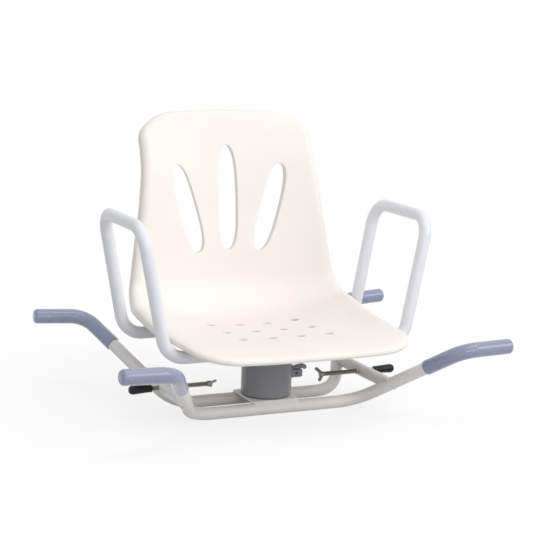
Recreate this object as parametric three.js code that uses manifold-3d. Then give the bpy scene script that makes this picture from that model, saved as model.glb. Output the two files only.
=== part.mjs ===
// A swivel bath seat: a moulded bucket seat with two armrests turns on a column between two bent bars.
// The four arms of the bars lie over the rims of the bath, and two screwed feet press against its walls.
// Sizes are in millimetres. X runs across the bath, -Y is the way a sitter faces, Z is up from the floor.
import * as THREE from 'three';
import { mergeVertices } from 'three/addons/utils/BufferGeometryUtils.js';
import Module from 'manifold-3d';

const wasm = await Module();
wasm.setup();

const degrees = Math.PI / 180;

// Clearances
const gap = 0.3; // between pieces that touch
const overrun = 2; // how far a cutter passes through what it cuts

// Steel tube of the bars, the braces and the armrests
const tube = { radius: 11, wall: 1.5, sides: 12, boreSides: 6, bendStep: 22 * degrees };

// Front and rear bar: each lies in a plane that leans outward from its foot
const bar = {
  tipX: 348.5, // end of the tube
  upperX: 260, // upper bend
  lowerX: 157, // lower bend
  footY: 39, // half the distance between the two bars where they stand
  tipRise: 225, // along the leaning plane
  upperRise: 218,
  lean: 34.3 * degrees, // of that plane above the floor
  lowerBend: 62,
  upperBend: 46,
};

// Grip sleeves on the ends of the bars
const grip = { radius: 13, reach: 74, endWall: 3.5, endRound: 5.5, beadRadius: 13.2, beadLength: 5, roundSteps: 3 };

// Braces between the bars, and where they meet the sloping part of a bar
const brace = { share: 0.337 };

// Plate under the column
const plate = { width: 94, depth: 90, thickness: 4, corner: 5 };

// Fixed post of the swivel
const spindle = {
  flangeRadius: 36, flangeThickness: 6, radius: 15, top: 112.6,
  bolts: 4, boltCircle: 28, boltShank: 3, boltHead: 5.4, boltHeadHeight: 4, boltTail: 5,
};

// Notched disc of the lock, clamped on the post
const index = {
  radius: 36, bossRadius: 21, underside: 45, thickness: 5, bossTop: 56, bossBottom: 41,
  notches: 4, notchWidth: 10, notchDepth: 10,
};

// Swivel bearing
const thrust = { radius: 21, thickness: 1.6 };
const hub = { radius: 22, wall: 3.6, top: 108.4 };
const bush = { flangeRadius: 20.5, flangeThickness: 2, length: 14, wall: 2.5 };

// Support plate under the seat, the washer and the bolt that hold it down on the post
const support = { width: 132, thickness: 4, corner: 18, endMargin: 17, lighteningRadius: 17, lighteningY: 52 };
const retainer = { washerRadius: 21, washerThickness: 2.2, headRadius: 8.5, headHeight: 4.4, shank: 5, shankLength: 22 };

// Grey housing round the post, and its screws
const cover = {
  radius: 44, wall: 3, footClearance: 2, flangeInner: 31, edge: 2,
  windowHalfWidth: 7, windowBottom: 49, windowTop: 73,
  screws: 3, screwCircle: 36, screwShank: 2, screwHead: 3.6, screwHeadHeight: 1.6, screwTurn: 60 * degrees,
};

// Lock on the right of the column: housing, lever and its pin
const lock = {
  housingReach: 67, housingHalfWidth: 9.5, housingBottom: 50.5, housingTop: 64.5, housingRound: 2.5,
  slotHalfWidth: 4.4, slotBottom: 53, bossHalfWidth: 12, saddle: 3,
};
const lever = {
  pivotX: 54, pivotZ: 60, halfWidth: 4, barHalfWidth: 6.5, barBottom: 67, barThickness: 5.5,
  barStart: 49.5, tipX: 77, tipRadius: 4.8, armHalfHeight: 3.2, noseX: 31, noseHalfLength: 3, noseClearance: 0.5,
  pinRadius: 2, rootRound: 5,
};

// Adjuster on each side: threaded bush, screw, wing handle and rubber foot
const adjuster = {
  rodRadius: 4, bushRadius: 5.2, bushStandOut: 3.3,
  wingX: 107, hubRadius: 5.2, hubLength: 9, wingReach: 13.5, wingSweep: 7, wingWidth: 6, wingThickness: 3.2,
  footInner: 214, footTip: 254, footNeck: 6.3, footBulb: 7.9, footFlat: 3, socketDepth: 24, footSides: 16,
};
const wingTurns = { left: 144 * degrees, right: 35 * degrees };

// Armrests: each a loop of tube whose legs turn inward under the seat
const arm = {
  rearX: 225, frontX: 222, topX: 265,
  rearY: 107, frontY: 84, topRearY: 111, topFrontY: 78,
  topZ: 339, bottomBend: 40, topBend: 38,
};
const armBolt = { fromEdge: 16, fromTubeEnd: 8, shank: 3, head: 5.6, headHeight: 4, intoSeat: 3 };

// Moulded seat: its middle line runs from the front edge over the pan and up the back
const seat = {
  thickness: 18, panelThickness: 11.5, // at the rim and inside it
  frontY: 180, frontZ: 140, lipY: 124, lipZ: 145.7, lipBend: 160,
  heelY: 172.6, heelZ: 131.7, heelBend: 78,
  topY: 218.6, topZ: 495,
  halfWidth: 201, dish: 48, dishReach: 1.2, // past this share of the half width the dish rises no more
  frontCorner: 66, topCorner: 48, topArch: 9, archReach: 120,
  rowStep: 29, columns: 12, cornerSteps: 4, rimSteps: 4, normalStep: 0.5,
};
// Along the middle line: place, half width, depth of the dish, how late across the width it rises, and
// how far its middle stands forward
const seatShares = [
  [0.0, 0.97, 0.2, 3.2, 0],
  [0.075, 0.958, 0.17, 3.2, 0],
  [0.18, 0.973, 0.27, 3.1, 0],
  [0.29, 0.993, 0.5, 2.9, 0],
  [0.385, 0.997, 0.83, 2.6, 0],
  [0.475, 0.968, 0.99, 2.3, 0],
  [0.56, 0.934, 0.92, 2.1, 0.095],
  [0.67, 0.879, 0.87, 2.0, 0.27],
  [0.75, 0.835, 0.89, 2.0, 0.27],
  [0.81, 0.81, 0.86, 2.0, 0.27],
  [0.86, 0.791, 0.76, 2.0, 0.27],
  [0.91, 0.784, 0.56, 2.0, 0.27],
  [0.955, 0.78, 0.34, 2.0, 0.27],
  [1.0, 0.71, 0.05, 2.0, 0.27],
];

// Where the thick rim runs out into the panel, along the middle line and across the half width
const panelShares = { frontRim: 0.08, front: 0.2, top: 0.88, topRim: 0.97, side: 0.6, sideRim: 0.95 };

// Leaf-shaped slots in the back, and how far their middles are below the top edge
const slot = { length: 189, width: 38.2, belowTop: 150.5, cutDepth: 160, segments: 6 };
const sideSlot = { x: 80.9, length: 164.2, width: 36.9, belowTop: 168.1, lean: 15.8 * degrees };
const leafShares = { shoulder: 0.438, upper: 0.305, belly: -0.054, lower: -0.3, heel: 0.45 };

// Drain holes in the pan: rows from rear to front
const drain = { radius: 4.2, dishRadius: 8, dishDepth: 2, pitchX: 54, pitchY: 67, rearY: 62, columns: 4, rows: 3, sides: 8 };

// Painted steel, vinyl, plastics and bare metal
const materials = {
  seat: new THREE.MeshStandardMaterial({ color: 0xf6f1ea, roughness: 0.5 }),
  armrest: new THREE.MeshStandardMaterial({ color: 0xf3f3f5, roughness: 0.35 }),
  frame: new THREE.MeshStandardMaterial({ color: 0xe9e7e4, roughness: 0.4 }),
  grip: new THREE.MeshStandardMaterial({ color: 0x8890ab, roughness: 0.25 }),
  housing: new THREE.MeshStandardMaterial({ color: 0x6b6d73, roughness: 0.5 }),
  steel: new THREE.MeshStandardMaterial({ color: 0x8d8780, roughness: 0.35, metalness: 1 }),
  bearing: new THREE.MeshStandardMaterial({ color: 0xd8d4c8, roughness: 0.6 }),
  rubber: new THREE.MeshStandardMaterial({ color: 0x1b1b1d, roughness: 0.6 }),
};

// Heights that follow from the stack of pieces
const tubeFlat = tube.radius * Math.cos(Math.PI / tube.sides); // from a tube's axis to its flats
const barZ = tubeFlat;
const plateBottom = 2 * tubeFlat + gap;
const plateTop = plateBottom + plate.thickness;
const flangeBottom = plateTop + gap;
const flangeTop = flangeBottom + spindle.flangeThickness;
const hubBottom = index.bossTop + 2 * gap + thrust.thickness;
const supportBottom = hub.top + gap;
const supportTop = supportBottom + support.thickness;
const armZ = supportTop + gap + tubeFlat;
const legRun = Math.hypot(bar.upperX - bar.lowerX, bar.upperRise);
const braceX = bar.lowerX + brace.share * (bar.upperX - bar.lowerX);
const braceRise = brace.share * bar.upperRise;
const braceEndY = bar.footY + braceRise * Math.cos(bar.lean);
const braceZ = barZ + braceRise * Math.sin(bar.lean);

const sides = [['left', -1], ['right', 1]];
const ends = [['front', -1], ['rear', 1]];

// A closed geometry as a solid. A profile that was drawn downwards comes out inside out and is turned round.
function solid(geometry) {
  const bare = geometry.clone();
  bare.deleteAttribute('normal');
  bare.deleteAttribute('uv');
  const merged = mergeVertices(bare);
  const vertProperties = merged.attributes.position.array;
  const triVerts = new Uint32Array(merged.index.array);
  const made = new wasm.Manifold(new wasm.Mesh({ numProp: 3, vertProperties, triVerts }));
  if (made.volume() > 0) return made;
  for (let i = 0; i < triVerts.length; i += 3) {
    [triVerts[i + 1], triVerts[i + 2]] = [triVerts[i + 2], triVerts[i + 1]];
  }
  return new wasm.Manifold(new wasm.Mesh({ numProp: 3, vertProperties, triVerts }));
}

function geometryOf(made) {
  const mesh = made.getMesh();
  const geometry = new THREE.BufferGeometry();
  geometry.setAttribute('position', new THREE.BufferAttribute(mesh.vertProperties, 3));
  geometry.setIndex(new THREE.BufferAttribute(mesh.triVerts, 1));
  geometry.computeVertexNormals();
  return geometry;
}

function cut(geometry, ...tools) {
  return geometryOf(tools.reduce((body, tool) => body.subtract(solid(tool)), solid(geometry)));
}

function join(...geometries) {
  return geometryOf(geometries.map(solid).reduce((body, other) => body.add(other)));
}

// A cylinder with its axis along Z, from one height to another
function upright(radius, bottom, top, count = 16) {
  return new THREE.CylinderGeometry(radius, radius, top - bottom, count)
    .rotateX(Math.PI / 2)
    .translate(0, 0, (top + bottom) / 2);
}

// A cylinder with its axis along X, from one place to another
function lengthwise(radius, from, to, count = 16) {
  return upright(radius, from, to, count).rotateY(Math.PI / 2);
}

// A box between two corners
function block(low, high) {
  return new THREE.BoxGeometry(high[0] - low[0], high[1] - low[1], high[2] - low[2])
    .translate((high[0] + low[0]) / 2, (high[1] + low[1]) / 2, (high[2] + low[2]) / 2);
}

// A profile of [radius, height] turned round the Z axis
function turned(profile, count = 24) {
  const points = profile.map(([radius, height]) => new THREE.Vector2(radius, height));
  return geometryOf(solid(new THREE.LatheGeometry(points, count).rotateX(Math.PI / 2)));
}

// A flat plate with rounded corners, its middle on the Z axis
function roundedPlate(width, depth, corner, bottom, top) {
  const shape = new THREE.Shape();
  const x = width / 2;
  const y = depth / 2;
  shape.moveTo(x - corner, -y);
  shape.absarc(x - corner, corner - y, corner, -Math.PI / 2, 0);
  shape.absarc(x - corner, y - corner, corner, 0, Math.PI / 2);
  shape.absarc(corner - x, y - corner, corner, Math.PI / 2, Math.PI);
  shape.absarc(corner - x, corner - y, corner, Math.PI, 3 * Math.PI / 2);
  return new THREE.ExtrudeGeometry(shape, { depth: top - bottom, bevelEnabled: false, curveSegments: 3 })
    .translate(0, 0, bottom);
}

// A run of straight lengths whose corners are rounded by circular bends
class BentRun extends THREE.Curve {
  constructor(corners, bends, bendStep = tube.bendStep) {
    super();
    this.pieces = [];
    let from = corners[0];
    for (let i = 1; i < corners.length; i++) {
      const ahead = corners[i].clone().sub(corners[i - 1]).normalize();
      const last = i === corners.length - 1;
      const next = last ? ahead : corners[i + 1].clone().sub(corners[i]).normalize();
      const angle = last ? 0 : ahead.angleTo(next);
      const cutBack = last ? 0 : bends[i - 1] * Math.tan(angle / 2);
      const to = corners[i].clone().addScaledVector(ahead, -cutBack);
      this.pieces.push({ start: from, ahead, length: from.distanceTo(to), radius: 0, steps: 1 });
      if (last) break;
      const inward = next.clone().addScaledVector(ahead, -Math.cos(angle)).normalize();
      const steps = Math.max(1, Math.round(angle / bendStep));
      this.pieces.push({ start: to, ahead, inward, length: bends[i - 1] * angle, radius: bends[i - 1], steps });
      from = corners[i].clone().addScaledVector(next, cutBack);
    }
    this.total = this.pieces.reduce((sum, piece) => sum + piece.length, 0);
  }

  // Place and direction at a distance from the start. The run goes straight on beyond its ends.
  at(distance) {
    const last = this.pieces[this.pieces.length - 1];
    let left = distance;
    let piece = last;
    for (piece of this.pieces) {
      if (left <= piece.length || piece === last) break;
      left -= piece.length;
    }
    const point = piece.start.clone();
    if (!piece.radius) return { point: point.addScaledVector(piece.ahead, left), tangent: piece.ahead.clone() };
    const angle = left / piece.radius;
    point.addScaledVector(piece.ahead, piece.radius * Math.sin(angle));
    point.addScaledVector(piece.inward, piece.radius * (1 - Math.cos(angle)));
    const tangent = piece.ahead.clone().multiplyScalar(Math.cos(angle));
    return { point, tangent: tangent.addScaledVector(piece.inward, Math.sin(angle)).normalize() };
  }

  getPoint(t) {
    return this.at(t * this.total).point;
  }

  // Distances of the rings: a straight length has one at each end, a bend has more
  ringDistances(first = 0, final = this.total) {
    const distances = [first];
    let begin = 0;
    for (const piece of this.pieces) {
      for (let i = 1; i <= piece.steps; i++) {
        const distance = begin + piece.length * i / piece.steps;
        if (distance > first + gap && distance < final - gap) distances.push(distance);
      }
      begin += piece.length;
    }
    return [...distances, final];
  }
}

// The part of a run between two distances, as a path for an extrusion. Its frames turn with the bends only.
class RunPath extends THREE.Curve {
  constructor(run, first, final, upAt) {
    super();
    this.rings = run.ringDistances(first, final).map((distance) => run.at(distance));
    this.final = this.rings.length - 1;
    const start = run.at(upAt);
    this.normals = this.rings.map(() => null);
    const nearest = run.ringDistances(first, final).findIndex((distance) => distance >= upAt - gap);
    const origin = Math.max(nearest, 0);
    const up = new THREE.Vector3(0, 0, 1).addScaledVector(start.tangent, -start.tangent.z).normalize();
    this.normals[origin] = this.carry(up, start.tangent, this.rings[origin].tangent);
    for (let i = origin + 1; i <= this.final; i++) {
      this.normals[i] = this.carry(this.normals[i - 1], this.rings[i - 1].tangent, this.rings[i].tangent);
    }
    for (let i = origin - 1; i >= 0; i--) {
      this.normals[i] = this.carry(this.normals[i + 1], this.rings[i + 1].tangent, this.rings[i].tangent);
    }
  }

  carry(normal, from, to) {
    return normal.clone().applyQuaternion(new THREE.Quaternion().setFromUnitVectors(from, to));
  }

  getPoint(t) {
    return this.rings[Math.round(t * this.final)].point.clone();
  }

  getSpacedPoints() {
    return this.rings.map((ring) => ring.point);
  }

  computeFrenetFrames() {
    const tangents = this.rings.map((ring) => ring.tangent);
    const binormals = this.rings.map((ring, i) => ring.tangent.clone().cross(this.normals[i]));
    return { tangents, normals: this.normals, binormals };
  }
}

// Corners of a regular polygon with a flat that faces the path's normal
function polygon(radius, count) {
  return Array.from({ length: count }, (_, i) => {
    const angle = (i + 0.5) * 2 * Math.PI / count;
    return new THREE.Vector2(radius * Math.cos(angle), radius * Math.sin(angle));
  });
}

// A round bar or, with a bore, a tube along part of a run
function roundAlong(run, { radius, count = tube.sides, bore = 0, boreCount = tube.boreSides,
  first = 0, final = run.total, upAt = 0 }) {
  const path = new RunPath(run, first, final, upAt);
  const shape = new THREE.Shape(polygon(radius, count));
  if (bore) shape.holes.push(new THREE.Path(polygon(bore, boreCount)));
  return new THREE.ExtrudeGeometry(shape, { steps: path.final, extrudePath: path });
}

// The model and the groups that its pieces stand in
const model = new THREE.Group();
const base = new THREE.Group();
const turning = new THREE.Group();
model.add(base, turning);

function add(group, name, geometry, material) {
  const mesh = new THREE.Mesh(geometry, material);
  mesh.name = name;
  group.add(mesh);
  return mesh;
}

// Front and rear bar
const bore = tube.radius - tube.wall;

function barRun(end) {
  const corner = (x, rise) => new THREE.Vector3(
    x, end * (bar.footY + rise * Math.cos(bar.lean)), barZ + rise * Math.sin(bar.lean));
  const corners = [
    corner(-bar.tipX, bar.tipRise), corner(-bar.upperX, bar.upperRise), corner(-bar.lowerX, 0),
    corner(bar.lowerX, 0), corner(bar.upperX, bar.upperRise), corner(bar.tipX, bar.tipRise),
  ];
  return new BentRun(corners, [bar.upperBend, bar.lowerBend, bar.lowerBend, bar.upperBend]);
}

const barRuns = Object.fromEntries(ends.map(([name, end]) => [name, barRun(end)]));
for (const [name] of ends) {
  const run = barRuns[name];
  add(base, `${name}_bar`, roundAlong(run, { radius: tube.radius, bore, upAt: run.total / 2 }), materials.frame);
}

// A skin of rings along a run that lies in a plane. Each entry holds a distance and a radius, and at radius 0
// the skin closes in a point.
function skinAlong(run, profile, count = tube.sides) {
  const middle = run.at(run.total / 2);
  const up = new THREE.Vector3(0, 0, 1);
  const positions = [];
  const faces = [];
  const outline = polygon(1, count);
  const rings = profile.map(([distance, radius]) => {
    const { point, tangent } = run.at(distance);
    const normal = up.clone().applyQuaternion(
      new THREE.Quaternion().setFromUnitVectors(middle.tangent, tangent));
    const binormal = tangent.clone().cross(normal);
    return outline.map(({ x, y }) => {
      const place = point.clone().addScaledVector(normal, radius * x).addScaledVector(binormal, radius * y);
      return positions.push(place.x, place.y, place.z) / 3 - 1;
    });
  });
  for (let i = 1; i < rings.length; i++) {
    for (let j = 0; j < count; j++) {
      const k = (j + 1) % count;
      const [a, b, c, d] = [rings[i - 1][j], rings[i - 1][k], rings[i][k], rings[i][j]];
      if (profile[i - 1][1]) faces.push(a, b, c);
      if (profile[i][1]) faces.push(a, c, d);
    }
  }
  const geometry = new THREE.BufferGeometry();
  geometry.setAttribute('position', new THREE.Float32BufferAttribute(positions, 3));
  geometry.setIndex(faces);
  return geometryOf(solid(geometry));
}

// Grip sleeves: from the rounded tip along the outside to a bead at the cuff, and back along the inside
const gripLength = Math.hypot(bar.tipX - bar.upperX, bar.tipRise - bar.upperRise) + grip.reach;

function gripSleeve(run, atStart) {
  const place = (distance) => (atStart ? distance : run.total - distance);
  const within = run.ringDistances().map(place).filter((distance) => distance > 0
    && distance < gripLength - 2 * grip.beadLength).sort((a, b) => a - b);
  const profile = [[place(-grip.endWall), 0]];
  for (let i = 0; i <= grip.roundSteps; i++) {
    const angle = i / grip.roundSteps * Math.PI / 2;
    profile.push([place(grip.endRound * (1 - Math.sin(angle)) - grip.endWall),
      grip.radius - grip.endRound * (1 - Math.cos(angle))]);
  }
  profile.splice(1, profile.length - 1, ...profile.slice(1).reverse());
  within.forEach((distance) => profile.push([place(distance), grip.radius]));
  const cuff = gripLength - grip.beadLength;
  profile.push([place(cuff - grip.beadLength), grip.radius], [place(cuff), grip.beadRadius],
    [place(gripLength), grip.beadRadius - gap], [place(gripLength), tube.radius + gap]);
  within.reverse().forEach((distance) => profile.push([place(distance), tube.radius + gap]));
  profile.push([place(-gap), tube.radius + gap], [place(-gap), 0]);
  return skinAlong(run, profile);
}

for (const [endName] of ends) {
  for (const [sideName, side] of sides) {
    add(base, `${endName}_${sideName}_grip`, gripSleeve(barRuns[endName], side < 0), materials.grip);
  }
}

// Braces: tubes along Y, shaped at their ends to fit against the bars, with a cross hole for the bush
for (const [sideName, side] of sides) {
  const reach = new BentRun([
    new THREE.Vector3(side * braceX, -braceEndY, braceZ),
    new THREE.Vector3(side * braceX, braceEndY, braceZ),
  ], []);
  const bushHole = lengthwise(adjuster.bushRadius + gap, -overrun - tube.radius, tube.radius + overrun, 16)
    .translate(side * braceX, 0, braceZ);
  const fatBars = ends.map(([name]) => roundAlong(barRuns[name],
    { radius: tube.radius + gap, upAt: barRuns[name].total / 2 }));
  add(base, `${sideName}_brace`,
    cut(roundAlong(reach, { radius: tube.radius, bore }), bushHole, ...fatBars), materials.frame);
}

// Plate on the two bars
const boltPlaces = Array.from({ length: spindle.bolts }, (_, i) => {
  const angle = (i + 0.5) * 2 * Math.PI / spindle.bolts;
  return [spindle.boltCircle * Math.cos(angle), spindle.boltCircle * Math.sin(angle)];
});
const boltHoles = (bottom, top) => boltPlaces.map(([x, y]) => upright(
  spindle.boltShank + gap, bottom - overrun, top + overrun, 8).translate(x, y, 0));
add(base, 'base_plate', cut(
  roundedPlate(plate.width, plate.depth, plate.corner, plateBottom, plateTop),
  ...boltHoles(plateBottom, plateTop)), materials.frame);

// Fixed post with its flange, drilled and tapped on top for the retaining bolt
const boltSocket = retainer.shank + gap;
add(base, 'spindle', cut(turned([
  [0, flangeBottom], [spindle.flangeRadius, flangeBottom], [spindle.flangeRadius, flangeTop],
  [spindle.radius, flangeTop], [spindle.radius, spindle.top], [0, spindle.top],
]), ...boltHoles(flangeBottom, flangeTop),
upright(boltSocket, spindle.top - retainer.shankLength, spindle.top + overrun, 16)), materials.steel);

boltPlaces.forEach(([x, y], i) => {
  add(base, `spindle_bolt_${i + 1}`, join(
    upright(spindle.boltShank, plateBottom - spindle.boltTail + gap, flangeTop + 2 * gap, 8),
    upright(spindle.boltHead, flangeTop + gap, flangeTop + gap + spindle.boltHeadHeight, 6),
  ).translate(x, y, 0), materials.steel);
});

// Notched disc of the lock
const indexTop = index.underside + index.thickness;
const indexBody = turned([
  [spindle.radius + gap, index.bossBottom], [index.bossRadius, index.bossBottom],
  [index.bossRadius, index.underside], [index.radius, index.underside], [index.radius, indexTop],
  [index.bossRadius, indexTop], [index.bossRadius, index.bossTop], [spindle.radius + gap, index.bossTop],
  [spindle.radius + gap, index.bossBottom],
], 24);
const notches = Array.from({ length: index.notches }, (_, i) => block(
  [index.radius - index.notchDepth, -index.notchWidth / 2, index.underside - overrun],
  [index.radius + overrun, index.notchWidth / 2, indexTop + overrun],
).rotateZ(i * 2 * Math.PI / index.notches));
add(base, 'index_plate', cut(indexBody, ...notches), materials.steel);

// Thrust washer between the disc's boss and the hub
const thrustBottom = index.bossTop + gap;
const thrustTop = thrustBottom + thrust.thickness;
add(base, 'thrust_washer', turned([
  [spindle.radius + gap, thrustBottom], [thrust.radius, thrustBottom], [thrust.radius, thrustTop],
  [spindle.radius + gap, thrustTop], [spindle.radius + gap, thrustBottom],
]), materials.bearing);

// Hub tube, with a plastic bush in each end
const hubBore = hub.radius - hub.wall;
add(turning, 'hub_tube', turned([
  [hubBore, hubBottom + bush.flangeThickness + gap], [hub.radius, hubBottom + bush.flangeThickness + gap],
  [hub.radius, hub.top], [hubBore, hub.top], [hubBore, hubBottom + bush.flangeThickness + gap],
]), materials.steel);

// A bush with its flange below (direction 1) or without a flange, flush with the upper end (direction -1)
const bushOuter = hubBore - gap;
const bushInner = spindle.radius + gap;
add(turning, 'lower_bush', turned([
  [bushInner, hubBottom], [bush.flangeRadius, hubBottom], [bush.flangeRadius, hubBottom + bush.flangeThickness],
  [bushOuter, hubBottom + bush.flangeThickness], [bushOuter, hubBottom + bush.length],
  [bushInner, hubBottom + bush.length], [bushInner, hubBottom],
]), materials.bearing);
add(turning, 'upper_bush', turned([
  [bushInner, hub.top - bush.length], [bushOuter, hub.top - bush.length], [bushOuter, hub.top],
  [bushInner, hub.top], [bushInner, hub.top - bush.length],
]), materials.bearing);

// Support plate, pierced for the post and its bolts
const supportFront = arm.frontY + support.endMargin;
const supportRear = arm.rearY + support.endMargin;
const supportMiddle = (supportRear - supportFront) / 2;
const armBoltX = support.width / 2 - armBolt.fromEdge;
const armInnerX = armBoltX - armBolt.fromTubeEnd;
const armBoltPlaces = [];
for (const [sideName, side] of sides) {
  armBoltPlaces.push([`${sideName}_front`, side * armBoltX, -arm.frontY]);
  armBoltPlaces.push([`${sideName}_rear`, side * armBoltX, arm.rearY]);
}
const coverScrewPlaces = Array.from({ length: cover.screws }, (_, i) => {
  const angle = cover.screwTurn + i * 2 * Math.PI / cover.screws;
  return [cover.screwCircle * Math.cos(angle), cover.screwCircle * Math.sin(angle)];
});
add(turning, 'support_plate', cut(
  roundedPlate(support.width, supportFront + supportRear, support.corner, supportBottom, supportTop)
    .translate(0, supportMiddle, 0),
  upright(spindle.radius + gap, supportBottom - overrun, supportTop + overrun),
  ...[-1, 1].map((end) => upright(support.lighteningRadius, supportBottom - overrun, supportTop + overrun)
    .translate(0, supportMiddle + end * (support.lighteningY + spindle.radius), 0)),
  ...armBoltPlaces.map(([, x, y]) => upright(
    armBolt.shank + gap, supportBottom - overrun, supportTop + overrun, 8).translate(x, y, 0)),
  ...coverScrewPlaces.map(([x, y]) => upright(
    cover.screwShank + gap, supportBottom - overrun, supportTop + overrun, 8).translate(x, y, 0)),
), materials.steel);

// Washer and bolt on top of the post
const washerBottom = supportTop + gap;
const washerTop = washerBottom + retainer.washerThickness;
add(base, 'retaining_washer', turned([
  [boltSocket, washerBottom], [retainer.washerRadius, washerBottom], [retainer.washerRadius, washerTop],
  [boltSocket, washerTop], [boltSocket, washerBottom],
]), materials.steel);
const headBottom = washerTop + gap;
add(base, 'retaining_bolt', join(
  upright(retainer.shank, spindle.top - retainer.shankLength + overrun, headBottom + gap, 14),
  upright(retainer.headRadius, headBottom, headBottom + retainer.headHeight, 6),
), materials.steel);

// Grey housing: a drum that hangs from the support plate, with a window for the lock
const coverBottom = plateTop + cover.footClearance;
const coverTop = supportBottom - gap;
const coverInner = cover.radius - cover.wall;
const coverBody = turned([
  [coverInner, coverBottom], [cover.radius - cover.edge, coverBottom],
  [cover.radius, coverBottom + cover.edge], [cover.radius, coverTop],
  [cover.flangeInner, coverTop], [cover.flangeInner, coverTop - cover.wall],
  [coverInner, coverTop - cover.wall], [coverInner, coverBottom],
], 32);
add(turning, 'column_cover', cut(coverBody,
  block([coverInner - overrun, -cover.windowHalfWidth, cover.windowBottom],
    [cover.radius + overrun, cover.windowHalfWidth, cover.windowTop]),
  ...coverScrewPlaces.map(([x, y]) => upright(
    cover.screwShank + gap, coverTop - cover.wall - overrun, coverTop + overrun, 8).translate(x, y, 0)),
), materials.housing);

coverScrewPlaces.forEach(([x, y], i) => {
  const under = coverTop - cover.wall - gap;
  add(turning, `cover_screw_${i + 1}`, join(
    upright(cover.screwHead, under - cover.screwHeadHeight, under, 12),
    upright(cover.screwShank, under - gap, supportTop, 8),
  ).translate(x, y, 0), materials.steel);
});

// Lock housing: a saddle on the drum and two cheeks that hold the pin
const housingOutline = new THREE.Shape();
housingOutline.moveTo(cover.radius - overrun, lock.housingBottom);
housingOutline.lineTo(lock.housingReach - lock.housingRound, lock.housingBottom);
housingOutline.absarc(lock.housingReach - lock.housingRound, lock.housingBottom + lock.housingRound,
  lock.housingRound, -Math.PI / 2, 0);
housingOutline.absarc(lock.housingReach - lock.housingRound, lock.housingTop - lock.housingRound,
  lock.housingRound, 0, Math.PI / 2);
housingOutline.lineTo(cover.radius - overrun, lock.housingTop);

// A shape drawn in X and Z, extruded to both sides of Y = 0
function sideways(shape, halfWidth, curveSegments = 4) {
  return new THREE.ExtrudeGeometry(shape, { depth: 2 * halfWidth, bevelEnabled: false, curveSegments })
    .rotateX(Math.PI / 2)
    .translate(0, halfWidth, 0);
}

const crossHole = (radius, x, z, halfWidth, count = 12) => upright(radius, -halfWidth, halfWidth, count)
  .rotateX(Math.PI / 2).translate(x, 0, z);
const saddle = block(
  [0, -lock.bossHalfWidth, lock.housingBottom - lock.saddle],
  [cover.radius + lock.saddle, lock.bossHalfWidth, lock.housingTop + lock.saddle]);
add(turning, 'lock_housing', cut(
  join(sideways(housingOutline, lock.housingHalfWidth), saddle),
  upright(cover.radius + gap, lock.housingBottom - 2 * lock.saddle, lock.housingTop + 2 * lock.saddle, 32),
  block([0, -lock.slotHalfWidth, lock.slotBottom],
    [lock.housingReach - lock.saddle, lock.slotHalfWidth, lock.housingTop + lock.saddle + overrun]),
  crossHole(lever.pinRadius + gap, lever.pivotX, lever.pivotZ, lock.housingHalfWidth + overrun),
), materials.housing);
add(turning, 'lever_pin', crossHole(lever.pinRadius, lever.pivotX, lever.pivotZ, lock.housingHalfWidth),
  materials.steel);

// Lever: a bar with a round thumb end, a web down to the pin, and an arm in to the nose
const barTop = lever.barBottom + lever.barThickness;
const tipZ = barTop - lever.tipRadius;
const thumbBar = join(
  block([lever.barStart, -lever.barHalfWidth, lever.barBottom], [lever.tipX - lever.tipRadius, lever.barHalfWidth, barTop]),
  crossHole(lever.tipRadius, lever.tipX - lever.tipRadius, tipZ, lever.barHalfWidth, 16));
const web = block([lever.pivotX - lever.rootRound, -lever.halfWidth, lever.pivotZ - lever.rootRound],
  [lever.pivotX + lever.rootRound, lever.halfWidth, lever.barBottom + overrun]);
const noseBottom = indexTop + lever.noseClearance;
const innerArm = block([lever.noseX - lever.noseHalfLength, -lever.halfWidth, lever.pivotZ - lever.armHalfHeight],
  [lever.pivotX, lever.halfWidth, lever.pivotZ + lever.armHalfHeight]);
const nose = block([lever.noseX - lever.noseHalfLength, -lever.halfWidth, noseBottom],
  [lever.noseX + lever.noseHalfLength, lever.halfWidth, lever.pivotZ]);
add(turning, 'lock_lever', cut(join(thumbBar, web, innerArm, nose),
  crossHole(lever.pinRadius + gap, lever.pivotX, lever.pivotZ, lever.barHalfWidth + overrun)), materials.housing);

// Armrests
const armRuns = sides.map(([, side]) => {
  const corner = (x, y, z) => new THREE.Vector3(side * x, y, z);
  return new BentRun([
    corner(armInnerX, arm.rearY, armZ), corner(arm.rearX, arm.rearY, armZ),
    corner(arm.topX, arm.topRearY, arm.topZ), corner(arm.topX, -arm.topFrontY, arm.topZ),
    corner(arm.frontX, -arm.frontY, armZ), corner(armInnerX, -arm.frontY, armZ),
  ], [arm.bottomBend, arm.topBend, arm.topBend, arm.bottomBend]);
});
sides.forEach(([sideName], i) => {
  const holes = armBoltPlaces.map(([, x, y]) => upright(
    armBolt.shank + gap, armZ - tube.radius - overrun, armZ + tube.radius + overrun, 8).translate(x, y, 0));
  add(turning, `${sideName}_armrest`,
    cut(roundAlong(armRuns[i], { radius: tube.radius, bore }), ...holes), materials.armrest);
});

// Bolts that hold the armrests and the shell on the support plate
const boltTip = armZ + tube.radius + armBolt.intoSeat;
for (const [name, x, y] of armBoltPlaces) {
  add(turning, `${name}_seat_bolt`, join(
    upright(armBolt.head, supportBottom - gap - armBolt.headHeight, supportBottom - gap, 6),
    upright(armBolt.shank, supportBottom - 2 * gap, boltTip, 8),
  ).translate(x, y, 0), materials.steel);
}

// Seat shell: a shell swept along its middle line, dished across, with a rolled rim
const middleLine = new BentRun([
  new THREE.Vector3(0, -seat.frontY, seat.frontZ), new THREE.Vector3(0, -seat.lipY, seat.lipZ),
  new THREE.Vector3(0, seat.heelY, seat.heelZ), new THREE.Vector3(0, seat.topY, seat.topZ),
], [seat.lipBend, seat.heelBend]);

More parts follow.
